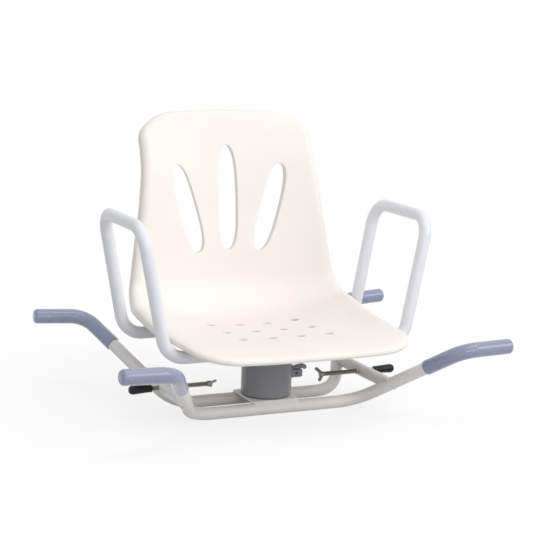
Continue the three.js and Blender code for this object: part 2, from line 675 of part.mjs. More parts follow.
// The shares of the table at a place along the middle line, on a smooth curve through its rows
function sharesAt(place) {
  const rows = seatShares;
  let i = rows.findIndex((row) => row[0] > place) - 1;
  if (i < 0) i = rows.length - 2;
  const near = [rows[Math.max(i - 1, 0)], rows[i], rows[i + 1], rows[Math.min(i + 2, rows.length - 1)]];
  const t = (place - near[1][0]) / (near[2][0] - near[1][0]);
  return [1, 2, 3, 4].map((column) => {
    const slope = (a, b) => (near[b][column] - near[a][column]) / (near[b][0] - near[a][0] || 1);
    const span = near[2][0] - near[1][0];
    const [m1, m2] = [slope(0, 2) * span, slope(1, 3) * span];
    const [p1, p2] = [near[1][column], near[2][column]];
    return (2 * t ** 3 - 3 * t ** 2 + 1) * p1 + (t ** 3 - 2 * t ** 2 + t) * m1
      + (3 * t ** 2 - 2 * t ** 3) * p2 + (t ** 3 - t ** 2) * m2;
  });
}

// A place on the sitting side: x across the seat, distance along the middle line
function sittingPoint(x, distance) {
  const { point, tangent } = middleLine.at(distance);
  const [width, dish, rise, forward] = sharesAt(Math.min(Math.max(distance / middleLine.total, 0), 1));
  const across = Math.min(Math.abs(x) / (width * seat.halfWidth), seat.dishReach) ** rise;
  const lift = dish * seat.dish * (forward + (1 - forward) * across);
  return new THREE.Vector3(x, point.y - lift * tangent.z, point.z + lift * tangent.y);
}

// The direction out of the sitting side
function sittingNormal(x, distance) {
  const step = seat.normalStep;
  const across = sittingPoint(x + step, distance).sub(sittingPoint(x - step, distance));
  const along = sittingPoint(x, distance + step).sub(sittingPoint(x, distance - step));
  return across.cross(along).normalize();
}

// The shell is thinner inside its rim
function thicknessAt(x, width, distance) {
  const place = distance / middleLine.total;
  const { smoothstep } = THREE.MathUtils;
  const along = smoothstep(place, panelShares.frontRim, panelShares.front)
    * (1 - smoothstep(place, panelShares.top, panelShares.topRim));
  const across = 1 - smoothstep(Math.abs(x) / width, panelShares.side, panelShares.sideRim);
  return seat.thickness - (seat.thickness - seat.panelThickness) * along * across;
}

// Rows of the shell: distance from the front edge and half width, with round corners at both ends
function seatRows() {
  const rows = [];
  const widthAt = (distance) => sharesAt(distance / middleLine.total)[0] * seat.halfWidth;
  for (let i = 0; i < seat.cornerSteps; i++) {
    const angle = (1 - i / seat.cornerSteps) * Math.PI / 2;
    const distance = seat.frontCorner * (1 - Math.sin(angle));
    rows.push([distance, widthAt(distance) - seat.frontCorner * (1 - Math.cos(angle))]);
  }
  const inner = middleLine.ringDistances(seat.frontCorner, middleLine.total - seat.topCorner);
  inner.forEach((distance, i) => {
    const from = i ? inner[i - 1] : distance;
    const parts = Math.max(1, Math.round((distance - from) / seat.rowStep));
    for (let k = 1; k <= (i ? parts : 1); k++) {
      const place = from + (distance - from) * k / parts;
      rows.push([place, widthAt(place)]);
    }
  });
  for (let i = 1; i <= seat.cornerSteps; i++) {
    const angle = i / seat.cornerSteps * Math.PI / 2;
    const distance = middleLine.total - seat.topCorner * (1 - Math.sin(angle));
    rows.push([distance, widthAt(distance) - seat.topCorner * (1 - Math.cos(angle))]);
  }
  return rows;
}

// The top edge is arched, and the rows below it follow
function arched(x, distance) {
  const nearTop = Math.max(0, 1 - (middleLine.total - distance) / seat.archReach);
  return distance - seat.topArch * (x / seat.halfWidth) ** 2 * nearTop ** 2;
}

function shellGeometry() {
  const rows = seatRows();
  const columns = seat.columns;
  const positions = [];
  const faces = [];
  const upper = [];
  const lower = [];
  const place = (point) => positions.push(point.x, point.y, point.z) / 3 - 1;
  const normals = [];
  for (const [distance, width] of rows) {
    const top = [];
    const bottom = [];
    for (let j = 0; j <= columns; j++) {
      const x = width * (2 * j / columns - 1);
      const along = arched(x, distance);
      const point = sittingPoint(x, along);
      const normal = sittingNormal(x, along);
      top.push(place(point));
      normals[top[j]] = normal;
      bottom.push(place(point.clone().addScaledVector(normal, -thicknessAt(x, width, distance))));
    }
    upper.push(top);
    lower.push(bottom);
  }
  const last = rows.length - 1;
  for (let i = 0; i < last; i++) {
    for (let j = 0; j < columns; j++) {
      const [a, b, c, d] = [upper[i][j], upper[i][j + 1], upper[i + 1][j + 1], upper[i + 1][j]];
      const [e, f, g, h] = [lower[i][j], lower[i][j + 1], lower[i + 1][j + 1], lower[i + 1][j]];
      faces.push(a, b, c, a, c, d, e, g, f, e, h, g);
    }
  }
  // Once round the outline, to the right of a sitter's view from above
  const loop = [];
  for (let j = 0; j < columns; j++) loop.push([0, j]);
  for (let i = 0; i < last; i++) loop.push([i, columns]);
  for (let j = columns; j > 0; j--) loop.push([last, j]);
  for (let i = last; i > 0; i--) loop.push([i, 0]);
  const pointOf = (index) => new THREE.Vector3().fromArray(positions, 3 * index);
  const rings = loop.map(([i, j], k) => {
    const top = upper[i][j];
    const before = loop[(k + loop.length - 1) % loop.length];
    const after = loop[(k + 1) % loop.length];
    const along = pointOf(upper[after[0]][after[1]]).sub(pointOf(upper[before[0]][before[1]]));
    const normal = normals[top];
    const outward = along.cross(normal).normalize();
    const centre = pointOf(top).addScaledVector(normal, -seat.thickness / 2);
    const ring = [top];
    for (let step = 1; step < seat.rimSteps; step++) {
      const angle = Math.PI * step / seat.rimSteps;
      ring.push(place(centre.clone()
        .addScaledVector(outward, seat.thickness / 2 * Math.sin(angle))
        .addScaledVector(normal, seat.thickness / 2 * Math.cos(angle))));
    }
    ring.push(lower[i][j]);
    return ring;
  });
  rings.forEach((ring, k) => {
    const next = rings[(k + 1) % rings.length];
    for (let step = 0; step < seat.rimSteps; step++) {
      faces.push(ring[step], ring[step + 1], next[step + 1], ring[step], next[step + 1], next[step]);
    }
  });
  const geometry = new THREE.BufferGeometry();
  geometry.setAttribute('position', new THREE.Float32BufferAttribute(positions, 3));
  geometry.setIndex(faces);
  return geometry;
}

// A leaf, narrow and round above, widest below its middle
function leaf(length, width) {
  const half = width / 2;
  const shape = new THREE.Shape();
  const { shoulder, upper, belly, lower, heel } = leafShares;
  shape.moveTo(0, length / 2);
  shape.bezierCurveTo(shoulder * width, length / 2, half, upper * length, half, belly * length);
  shape.bezierCurveTo(half, lower * length, heel * width, -length / 2, 0, -length / 2);
  shape.bezierCurveTo(-heel * width, -length / 2, -half, lower * length, -half, belly * length);
  shape.bezierCurveTo(-half, upper * length, -shoulder * width, length / 2, 0, length / 2);
  return sideways(shape, slot.cutDepth / 2, slot.segments);
}

const slotY = seat.topY - slot.cutDepth / 2 + seat.thickness;
const slots = [leaf(slot.length, slot.width).translate(0, slotY, seat.topZ - slot.belowTop)];
for (const [, side] of sides) {
  slots.push(leaf(sideSlot.length, sideSlot.width).rotateY(side * sideSlot.lean)
    .translate(side * sideSlot.x, slotY, seat.topZ - sideSlot.belowTop));
}

// Each hole has a shallow dish round its mouth
function drainCutter(x, y) {
  const top = sittingPoint(x, y + seat.frontY).z;
  const hole = upright(drain.radius, top - 2 * seat.thickness, top, drain.sides);
  const dish = new THREE.CylinderGeometry(drain.dishRadius + overrun, drain.radius, drain.dishDepth + overrun, drain.sides)
    .rotateX(Math.PI / 2).translate(0, 0, top + (overrun - drain.dishDepth) / 2);
  return join(hole, dish).translate(x, y, 0);
}

const drains = [];
for (let row = 0; row < drain.rows; row++) {
  for (let column = 0; column < drain.columns; column++) {
    const x = (column - (drain.columns - 1) / 2) * drain.pitchX;
    drains.push(drainCutter(x, drain.rearY - row * drain.pitchY));
  }
}

// Channels in the underside in which the armrest tubes lie
const channelRadius = tube.radius + gap;
const channelOutline = new THREE.Shape();
channelOutline.moveTo(-channelRadius, -2 * tube.radius);
channelOutline.lineTo(channelRadius, -2 * tube.radius);
channelOutline.absarc(0, 0, channelRadius, 0, Math.PI);
const channel = (y) => new THREE.ExtrudeGeometry(channelOutline,
  { depth: 2 * arm.frontX, bevelEnabled: false, curveSegments: 6 })
  .rotateX(Math.PI / 2).rotateZ(Math.PI / 2).translate(-arm.frontX, y, armZ);

add(turning, 'seat_shell', cut(shellGeometry(), ...slots, ...drains,
  channel(-arm.frontY), channel(arm.rearY),
  ...armRuns.map((run) => roundAlong(run, { radius: channelRadius })),
  ...armBoltPlaces.map(([, x, y]) => upright(
    armBolt.shank + gap, armZ, boltTip + gap, 8).translate(x, y, 0)),
), materials.seat);

// Adjusters: each stands in a group whose X axis points out of the bath seat
for (const [sideName, side] of sides) {
  const group = new THREE.Group();
  group.position.set(0, 0, braceZ);
  group.rotation.z = side < 0 ? Math.PI : 0;
  base.add(group);
  add(group, `${sideName}_bush`, cut(
    lengthwise(adjuster.bushRadius, braceX - tube.radius - adjuster.bushStandOut, braceX + tube.radius, 16),
    lengthwise(adjuster.rodRadius + gap, braceX - 2 * tube.radius, braceX + 2 * tube.radius, 16),
  ), materials.steel);
  const rodEnd = adjuster.footInner + adjuster.socketDepth - gap;
  add(group, `${sideName}_screw`,
    lengthwise(adjuster.rodRadius, adjuster.wingX, rodEnd, 16), materials.steel);
  const socket = lengthwise(adjuster.rodRadius + gap, adjuster.wingX - gap,
    adjuster.wingX + adjuster.hubLength + overrun, 16);
  const hubBody = lengthwise(adjuster.hubRadius, adjuster.wingX - adjuster.wingThickness,
    adjuster.wingX + adjuster.hubLength, 16);
  const wings = [0, Math.PI].map((turn) => wingBlade().rotateX(turn).translate(adjuster.wingX, 0, 0));
  add(group, `${sideName}_wing`, cut(join(hubBody, ...wings), socket), materials.steel)
    .rotation.x = wingTurns[sideName];
  add(group, `${sideName}_foot`, cut(footBody(), lengthwise(adjuster.rodRadius + gap,
    adjuster.footInner - overrun, adjuster.footInner + adjuster.socketDepth, 16)), materials.rubber);
}

// One blade of the wing handle, swept back from the hub, in the XY plane
function wingBlade() {
  const shape = new THREE.Shape();
  const half = adjuster.wingWidth / 2;
  const direction = new THREE.Vector2(-adjuster.wingSweep, adjuster.wingReach).normalize();
  const across = new THREE.Vector2(direction.y, -direction.x).multiplyScalar(half);
  const root = new THREE.Vector2(adjuster.wingThickness, 0);
  const end = new THREE.Vector2(-adjuster.wingSweep, adjuster.wingReach).addScaledVector(direction, -half);
  const start = Math.atan2(across.y, across.x);
  shape.moveTo(root.x + across.x, root.y + across.y);
  shape.lineTo(end.x + across.x, end.y + across.y);
  shape.absarc(end.x, end.y, half, start, start + Math.PI);
  shape.lineTo(root.x - across.x, root.y - across.y);
  return new THREE.ExtrudeGeometry(shape,
    { depth: adjuster.wingThickness, bevelEnabled: false, curveSegments: 6 })
    .translate(0, 0, -adjuster.wingThickness / 2);
}

// Rubber foot: a tapered plug with a bulb and a small flat at its tip
function footBody() {
  const { footInner, footTip, footNeck, footBulb, footFlat } = adjuster;
  const shoulder = footTip - footBulb;
  const profile = [[0, footInner], [footNeck, footInner], [footBulb, shoulder]];
  const round = footBulb - footFlat;
  for (let i = 1; i <= grip.roundSteps; i++) {
    const angle = i / grip.roundSteps * Math.PI / 2;
    profile.push([footFlat + round * Math.cos(angle), shoulder + footBulb * Math.sin(angle)]);
  }
  profile.push([0, footTip]);
  return turned(profile, adjuster.footSides).rotateY(Math.PI / 2);
}

export default model;
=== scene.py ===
import math

import bmesh
import bpy
import numpy as np
from mathutils import Matrix, Vector
from mathutils.geometry import delaunay_2d_cdt


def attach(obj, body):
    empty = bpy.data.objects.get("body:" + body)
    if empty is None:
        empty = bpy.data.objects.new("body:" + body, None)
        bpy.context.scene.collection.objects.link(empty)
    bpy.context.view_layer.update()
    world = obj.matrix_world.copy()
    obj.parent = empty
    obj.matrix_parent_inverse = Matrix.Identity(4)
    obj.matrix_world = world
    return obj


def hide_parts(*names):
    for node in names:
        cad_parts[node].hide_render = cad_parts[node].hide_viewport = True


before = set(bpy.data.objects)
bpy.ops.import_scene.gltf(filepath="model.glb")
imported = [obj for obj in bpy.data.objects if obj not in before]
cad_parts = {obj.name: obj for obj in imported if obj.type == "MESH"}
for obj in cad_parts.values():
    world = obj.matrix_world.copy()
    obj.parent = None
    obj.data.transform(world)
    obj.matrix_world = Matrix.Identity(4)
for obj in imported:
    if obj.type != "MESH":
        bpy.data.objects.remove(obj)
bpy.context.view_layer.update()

# Tools for meshes. Their lengths are in millimetres, and new_object makes metres of them.
MM = 0.001
TUBE_RADIUS = 10.8
TUBE_WALL = 1.5
TUBE_SIDES = 48
BEND_STEP = math.radians(4)
STRAIGHT_STEP = 12
LEAST_STEP = 0.2
SIDES = (("left", -1), ("right", 1))
ENDS = (("front", -1), ("rear", 1))


class BentLine:
    """Straight lengths whose corners are rounded by circular bends. All lengths are in millimetres."""

    def __init__(self, corners, bends=()):
        corners = [Vector(corner) for corner in corners]
        self.parts = []
        start = corners[0]
        for i in range(1, len(corners)):
            ahead = (corners[i] - corners[i - 1]).normalized()
            if i == len(corners) - 1:
                self.parts.append((start, ahead, None, (corners[i] - start).length, 0))
                break
            following = (corners[i + 1] - corners[i]).normalized()
            angle = ahead.angle(following)
            back = bends[i - 1] * math.tan(angle / 2)
            end = corners[i] - back * ahead
            self.parts.append((start, ahead, None, (end - start).length, 0))
            inward = (following - math.cos(angle) * ahead).normalized()
            self.parts.append((end, ahead, inward, bends[i - 1] * angle, bends[i - 1]))
            start = corners[i] + back * following
        self.total = sum(part[3] for part in self.parts)

    def at(self, distance):
        """Place and direction at a distance from the start. The line goes straight on beyond its ends."""
        distance = float(distance)
        for start, ahead, inward, length, radius in self.parts:
            if distance <= length or (start, length) == (self.parts[-1][0], self.parts[-1][3]):
                break
            distance -= length
        if not radius:
            return start + distance * ahead, ahead
        angle = distance / radius
        place = start + radius * (math.sin(angle) * ahead + (1 - math.cos(angle)) * inward)
        return place, math.cos(angle) * ahead + math.sin(angle) * inward

    def stations(self):
        """Distances along the line: close together in the bends, and a few on each straight length."""
        found = [0]
        begin = 0
        for start, ahead, inward, length, radius in self.parts:
            steps = max(1, round(length / radius / BEND_STEP if radius else length / STRAIGHT_STEP))
            found += [begin + length * i / steps for i in range(1, steps + 1)]
            begin += length
        return [d for d in found if d < self.total - LEAST_STEP] + [self.total]


def new_object(name, points, faces=(), edges=()):
    """An object whose points are given in millimetres and kept in metres."""
    mesh = bpy.data.meshes.new(name)
    mesh.from_pydata([tuple(c * MM for c in point) for point in points], list(edges), list(faces))
    mesh.update()
    made = bpy.data.objects.new(name, mesh)
    bpy.context.scene.collection.objects.link(made)
    return made


def settle(made, sharp=35):
    """Turns the result of an object's modifiers into its plain mesh, smooth but for edges above an angle."""
    bpy.context.view_layer.update()
    graph = bpy.context.evaluated_depsgraph_get()
    mesh = bpy.data.meshes.new_from_object(made.evaluated_get(graph))
    made.modifiers.clear()
    made.data = mesh
    mesh.polygons.foreach_set("use_smooth", [True] * len(mesh.polygons))
    mesh.set_sharp_from_angle(angle=math.radians(sharp))
    return made


def bridge(before, after):
    """Faces between two rings of points. A ring that is one point, repeated, gives triangles."""
    faces = []
    for i in range(len(before)):
        j = (i + 1) % len(before)
        face = [before[i], before[j], after[j], after[i]]
        faces.append(tuple(v for k, v in enumerate(face) if v not in face[:k]))
    return faces


def face_outward(made):
    """Turns the faces of a closed mesh so that they face out."""
    bm = bmesh.new()
    bm.from_mesh(made.data)
    bmesh.ops.recalc_face_normals(bm, faces=bm.faces)
    bm.to_mesh(made.data)
    bm.free()
    return made


def prism(name, outline, bottom, top, place=lambda u, v, w: (u, v, w)):
    """A flat outline drawn anticlockwise and given a thickness."""
    count = len(outline)
    points = [place(u, v, bottom) for u, v in outline] + [place(u, v, top) for u, v in outline]
    faces = [tuple(range(count))[::-1], tuple(range(count, 2 * count))]
    faces += [(i, (i + 1) % count, (i + 1) % count + count, i + count) for i in range(count)]
    return new_object(name, points, faces)


def box(name, low, high):
    """A plain block between two corners, for a cut or a join."""
    outline = [(low[0], low[1]), (high[0], low[1]), (high[0], high[1]), (low[0], high[1])]
    return prism(name, outline, low[2], high[2])


def cylinder(name, start, end, radius, sides=48):
    """A plain round bar between two places, for a cut."""
    bm = bmesh.new()
    start, end = Vector(start), Vector(end)
    turn = (end - start).to_track_quat("Z", "Y").to_matrix().to_4x4()
    bmesh.ops.create_cone(bm, cap_ends=True, segments=sides, radius1=radius, radius2=radius,
                          depth=(end - start).length, matrix=Matrix.Translation((start + end) / 2) @ turn)
    bm.transform(Matrix.Scale(MM, 4))
    made = new_object(name, [])
    bm.to_mesh(made.data)
    bm.free()
    return made


def arc(centre, radius, first, last, steps=6):
    """Places on an arc in a plane, between two angles in degrees."""
    found = []
    for i in range(steps + 1):
        angle = math.radians(first + (last - first) * i / steps)
        found.append((centre[0] + radius * math.cos(angle), centre[1] + radius * math.sin(angle)))
    return found


def on_circle(radius, height, count, first):
    """Places spread evenly on a level circle, from an angle in degrees."""
    angles = [math.radians(first + 360 / count * i) for i in range(count)]
    return [(radius * math.cos(a), radius * math.sin(a), height) for a in angles]


def rounded_outline(half_x, half_y, corner, steps=8):
    """The outline of a rectangle with round corners, anticlockwise from above."""
    points = []
    for x, y, start in ((1, -1, -90), (1, 1, 0), (-1, 1, 90), (-1, -1, 180)):
        points += arc((x * (half_x - corner), y * (half_y - corner)), corner, start, start + 90, steps)
    return points


def sideways(u, v, w):
    """Puts a shape that is drawn in X and Z to both sides of Y = 0."""
    return u, -w, v


def along_bars(u, v, w):
    """Puts a shape that is drawn in Y and Z along X."""
    return w, u, v


def skin(name, rings, sides, closed):
    """A skin through rings of places. A ring of one place ends it in a point, and closed joins the last ring
    to the first."""
    points = []
    numbers = []
    for ring in rings:
        numbers.append([len(points) + i % len(ring) for i in range(sides)])
        points += ring
    if closed:
        numbers.append(numbers[0])
    faces = [face for before, after in zip(numbers, numbers[1:]) for face in bridge(before, after)]
    return face_outward(new_object(name, points, faces))


def turned(name, profile, sides=96, closed=True):
    """A profile of radius and height turned round Z."""
    rings = [on_circle(radius, height, sides if radius else 1, 0) for radius, height in profile]
    return skin(name, rings, sides, closed)


def skin_along(name, line, profile):
    """A skin along a line that lies in a plane. Each entry of its profile holds a distance and a radius."""
    rings = []
    for distance, radius in profile:
        place, ahead = line.at(distance)
        across = ahead.cross(Vector((0, 0, 1))).normalized()
        above = across.cross(ahead).normalized()
        circle = on_circle(radius, 0, TUBE_SIDES if radius else 1, 0)
        rings.append([place + u * across + v * above for u, v, _ in circle])
    return skin(name, rings, TUBE_SIDES, closed=False)


def carve(made, *tools, operation="DIFFERENCE"):
    """Cuts tools from an object, or joins them to it, and removes them."""
    for tool in tools:
        modifier = made.modifiers.new("carve", "BOOLEAN")
        modifier.operation = operation
        modifier.solver = "EXACT"
        modifier.object = tool
    settle(made)
    for tool in tools:
        bpy.data.objects.remove(tool)
    return made


def soften(made, width, segments=3, angle=35):
    """Rounds the edges of a piece."""
    bevel = made.modifiers.new("edge", "BEVEL")
    bevel.width = width * MM
    bevel.segments = segments
    bevel.limit_method = "ANGLE"
    bevel.angle_limit = math.radians(angle)
    bevel.harden_normals = False
    return made


def hollow(made):
    """Gives the skin of a tube its wall, inward."""
    wall = made.modifiers.new("wall", "SOLIDIFY")
    wall.thickness = TUBE_WALL * MM
    wall.offset = -1


# Tools for node trees and materials. Their lengths are in metres.
GRAIN_DEPTH = 0.0002
TOOL_LINE_DEPTH = 0.0001
WORN_ROUGHER = 0.12
DUST_ROUGHER = 0.3
SOCKETS = {
    "geometry": "NodeSocketGeometry", "material": "NodeSocketMaterial", "float": "NodeSocketFloat",
    "int": "NodeSocketInt", "vector": "NodeSocketVector",
}


def fill(tree, node, inputs):
    """Gives a node its inputs. One that is another node or its socket is linked."""
    for name, value in inputs.items():
        if isinstance(value, bpy.types.Node):
            value = value.outputs[0]
        if isinstance(value, bpy.types.NodeSocket):
            tree.links.new(value, node.inputs[name])
        else:
            node.inputs[name].default_value = value
    return node


def add_node(tree, kind, inputs=None, **settings):
    """A new node of a tree, with its settings and its inputs."""
    node = tree.nodes.new(kind)
    for name, value in settings.items():
        setattr(node, name, value)
    return fill(tree, node, inputs or {})


def new_tree(name, kind, inputs, outputs):
    """An empty node tree with named inputs and outputs, the sockets of its inputs and its last node."""
    tree = bpy.data.node_groups.new(name, kind)
    for label, socket, *value in inputs:
        made = tree.interface.new_socket(label, in_out="INPUT", socket_type=SOCKETS[socket])
        if value:
            made.default_value = value[0]
    for label, socket in outputs:
        tree.interface.new_socket(label, in_out="OUTPUT", socket_type=SOCKETS[socket])
    return tree, tree.nodes.new("NodeGroupInput").outputs, tree.nodes.new("NodeGroupOutput")


def sum_of(tree, operation, *values):
    """The result of a sum on numbers or sockets."""
    return add_node(tree, "ShaderNodeMath", dict(enumerate(values)), operation=operation)


def ranged(tree, value, low, high, first=0.0, last=1.0):
    """A value's range from low to high, mapped to first to last and held there."""
    return add_node(tree, "ShaderNodeMapRange", {
        "Value": value, "From Min": low, "From Max": high, "To Min": first, "To Max": last})


def noise_of(tree, vector, size, detail, roughness):
    """A noise whose clouds have a size in metres."""
    per_metre = sum_of(tree, "DIVIDE", 1.0, size)
    return add_node(tree, "ShaderNodeTexNoise", {
        "Vector": vector, "Scale": per_metre, "Detail": detail, "Roughness": roughness}).outputs["Fac"]


def raised(tree, mesh, height):
    """The mesh of a node, moved up."""
    offset = add_node(tree, "ShaderNodeCombineXYZ", {"Z": height})
    return add_node(tree, "GeometryNodeTransform", {"Geometry": mesh, "Translation": offset})


def join(tree, *meshes):
    """The meshes of several nodes in one."""
    joined = add_node(tree, "GeometryNodeJoinGeometry")
    for mesh in meshes:
        fill(tree, joined, {0: mesh})
    return joined


def finish_tree(tree, geometry, material, out):
    """Ends a geometry tree: its instances made real, its faces smooth, and its material set."""
    real = add_node(tree, "GeometryNodeRealizeInstances", {"Geometry": geometry})
    smooth = add_node(tree, "GeometryNodeSetShadeSmooth", {"Geometry": real})
    coated = add_node(tree, "GeometryNodeSetMaterial", {"Geometry": smooth, "Material": material})
    fill(tree, out, {0: coated})
    return tree


def apply_tree(made, tree, values):
    """Puts a geometry tree on an object with its named inputs. Lengths are in metres."""
    modifier = made.modifiers.new(tree.name, "NODES")
    modifier.node_group = tree
    for item in tree.interface.items_tree:
        if item.in_out == "INPUT" and item.name in values:
            modifier[item.identifier] = values[item.name]
    return made


def use_group(tree, group, values):
    return add_node(tree, "ShaderNodeGroup", values, node_tree=group)


def blend_colours(tree, factor, first, second):
    inputs = {0: factor, 6: first, 7: second}
    return add_node(tree, "ShaderNodeMix", inputs, data_type="RGBA").outputs[2]


def shade(colour, share):
    return tuple(c * share for c in colour[:3]) + (1,)


def grain_group():
    """Fine pitted grain of a moulded or coated surface: a height, and a slow cloud for colour and gloss."""
    tree, given, out = new_tree("surface grain", "ShaderNodeTree", [
        ("Vector", "vector"), ("Grain Size", "float", 0.0012), ("Cloud Size", "float", 0.09)],
        [("Height", "float"), ("Cloud", "float")])
    cloud = noise_of(tree, given["Vector"], given["Cloud Size"], 3.0, 0.6)
    grain = noise_of(tree, given["Vector"], given["Grain Size"], 2.5, 0.55)
    fill(tree, out, {"Height": grain, "Cloud": ranged(tree, cloud, 0.32, 0.68)})
    return tree


def rub_group():
    """Where hands and handling rub a surface: its outer edges, broken up by a small noise."""
    tree, given, out = new_tree("edge rub", "ShaderNodeTree", [
        ("Vector", "vector"), ("Reach", "float", 0.06), ("Break Up", "float", 0.004)], [("Mask", "float")])
    shape = add_node(tree, "ShaderNodeNewGeometry")
    edge = ranged(tree, shape.outputs["Pointiness"], 0.51, sum_of(tree, "ADD", 0.51, given["Reach"]))
    specks = noise_of(tree, given["Vector"], given["Break Up"], 4.0, 0.6)
    fill(tree, out, {"Mask": sum_of(tree, "MULTIPLY", edge, ranged(tree, specks, 0.45, 0.62))})
    return tree


def dust_group():
    """Dust and dried suds on what faces up, in slow patches."""
    tree, given, out = new_tree("settled dust", "ShaderNodeTree", [
        ("Vector", "vector"), ("Patch Size", "float", 0.03), ("Amount", "float", 0.3)], [("Mask", "float")])
    shape = add_node(tree, "ShaderNodeNewGeometry")
    split = add_node(tree, "ShaderNodeSeparateXYZ", {0: shape.outputs["Normal"]})
    upward = ranged(tree, split.outputs["Z"], 0.35, 1.0)
    patches = noise_of(tree, given["Vector"], given["Patch Size"], 5.0, 0.65)
    both = sum_of(tree, "MULTIPLY", upward, ranged(tree, patches, 0.42, 0.72))
    fill(tree, out, {"Mask": sum_of(tree, "MULTIPLY", both, given["Amount"])})
    return tree


def turning_group():
    """Fine lines left by the lathe or the drawing die, drawn out along one direction."""
    tree, given, out = new_tree("tool lines", "ShaderNodeTree", [
        ("Vector", "vector"), ("Stretch", "vector", (40, 40, 900))], [("Height", "float"), ("Mask", "float")])
    drawn = add_node(tree, "ShaderNodeVectorMath", {0: given["Vector"], 1: given["Stretch"]},
                     operation="MULTIPLY")
    lines = noise_of(tree, drawn, 1.0, 4.0, 0.7)
    fill(tree, out, {"Height": lines, "Mask": ranged(tree, lines, 0.35, 0.65)})
    return tree


def tube_tree():
    """A round tube without ends along the edges of a mesh."""
    tree, given, out = new_tree("round tube", "GeometryNodeTree", [
        ("Geometry", "geometry"), ("Radius", "float", 0.011), ("Sides", "int", TUBE_SIDES),
        ("Coating", "material")], [("Geometry", "geometry")])
    line = add_node(tree, "GeometryNodeMeshToCurve", {"Mesh": given["Geometry"]})
    ring = add_node(tree, "GeometryNodeCurvePrimitiveCircle",
                    {"Resolution": given["Sides"], "Radius": given["Radius"]})
    skin = add_node(tree, "GeometryNodeCurveToMesh", {"Curve": line, "Profile Curve": ring})
    return finish_tree(tree, skin, given["Coating"], out)


def start_material(name):
    """A new material, its tree and the places on the piece that its textures follow."""
    material = bpy.data.materials.new(name)
    material.use_nodes = True
    tree = material.node_tree
    return material, tree, add_node(tree, "ShaderNodeTexCoord").outputs["Object"]


def link_surface(tree, paint, gloss, height, strength, depth, constants):
    """Links a material's colour, roughness and bump, and sets its plain values. The depth is in metres."""
    bump = add_node(tree, "ShaderNodeBump", {"Strength": strength, "Distance": depth, "Height": height})
    inputs = {"Base Color": paint, "Roughness": gloss, "Normal": bump, **constants}
    fill(tree, tree.nodes["Principled BSDF"], inputs)


def finish_material(name, colour, roughness, cloud_share, grain, cloud_size, gloss_spread, rub=None,
                    dust=None, constants=None):
    """A painted, moulded or bare surface. Grain gives the size and the depth of its fine texture, rub the
    colour and the reach of its worn edges, and dust the colour and the amount of what lies on it."""
    material, tree, place = start_material(name)
    texture = use_group(tree, GRAIN, {"Vector": place, "Grain Size": grain[0], "Cloud Size": cloud_size})
    cloud = texture.outputs["Cloud"]
    paint = blend_colours(tree, cloud, shade(colour, cloud_share), colour)
    gloss = ranged(tree, cloud, 0.0, 1.0, roughness - gloss_spread / 2, roughness + gloss_spread / 2)
    if rub:
        worn = use_group(tree, RUB, {"Vector": place, "Reach": rub[1]}).outputs["Mask"]
        paint = blend_colours(tree, worn, paint, rub[0])
        gloss = sum_of(tree, "MULTIPLY_ADD", worn, WORN_ROUGHER, gloss)
    if dust:
        lying = use_group(tree, DUST, {"Vector": place, "Amount": dust[1]}).outputs["Mask"]
        paint = blend_colours(tree, lying, paint, dust[0])
        gloss = sum_of(tree, "MULTIPLY_ADD", lying, DUST_ROUGHER, gloss)
    link_surface(tree, paint, gloss, texture.outputs["Height"], grain[1], GRAIN_DEPTH, constants or {})
    return material


def metal_material(name, colour, roughness, stretch, stain):
    """Plated steel with fine tool lines and a slow stain."""
    material, tree, place = start_material(name)
    lines = use_group(tree, TOOL_LINES, {"Vector": place, "Stretch": stretch})
    texture = use_group(tree, GRAIN, {"Vector": place, "Grain Size": 0.0008, "Cloud Size": 0.02})
    paint = blend_colours(tree, lines.outputs["Mask"], shade(colour, 0.86), colour)
    paint = blend_colours(tree, texture.outputs["Cloud"], stain, paint)
    gloss = ranged(tree, lines.outputs["Mask"], 0.0, 1.0, roughness - 0.06, roughness + 0.08)
    link_surface(tree, paint, gloss, lines.outputs["Height"], 0.15, TOOL_LINE_DEPTH, {"Metallic": 1})
    return material


GRAIN = grain_group()
RUB = rub_group()
DUST = dust_group()
TOOL_LINES = turning_group()
TUBE = tube_tree()

# Front and rear bar: steel tube 22 mm across, bent in four places, with a pale grey powder coating. Each bar
# lies in a plane that leans outward from its foot, so that its two arms come to rest on the rims of the bath.
BAR_AXIS_Z = 10.625
BAR_FOOT_Y = 39
BAR_TIP = (348.5, 225)  # across the bath, and up the leaning plane
BAR_UPPER = (260, 218)
BAR_LOWER = (157, 0)
BAR_LEAN = math.radians(34.3)
BAR_BENDS = (46, 62, 62, 46)
FRAME_COLOUR = (0.85, 0.83, 0.81, 1)

FRAME_COATING = finish_material(
    "pale powder coating", FRAME_COLOUR, 0.42, 0.96, (0.0016, 0.22), 0.12, 0.08,
    rub=((0.5, 0.48, 0.46, 1), 0.12), dust=((0.6, 0.585, 0.56, 1), 0.25),
    constants={"Coat Weight": 0.08, "Coat Roughness": 0.3})


def bar_line(end):
    """The middle line of a bar: end is -1 for the front and 1 for the rear."""
    corners = []
    for x, rise in (BAR_TIP, BAR_UPPER, BAR_LOWER):
        corners.append((x, end * (BAR_FOOT_Y + rise * math.cos(BAR_LEAN)),
                        BAR_AXIS_Z + rise * math.sin(BAR_LEAN)))
    left = [(-x, y, z) for x, y, z in corners]
    return BentLine(left + corners[::-1], BAR_BENDS)


def bent_tube(name, line, coating):
    """A tube along a bent line, with its wall and its open ends."""
    places = [line.at(distance)[0] for distance in line.stations()]
    made = new_object(name, places, edges=[(i, i + 1) for i in range(len(places) - 1)])
    apply_tree(made, TUBE, {"Radius": TUBE_RADIUS * MM, "Sides": TUBE_SIDES, "Coating": coating})
    hollow(made)
    return settle(made)


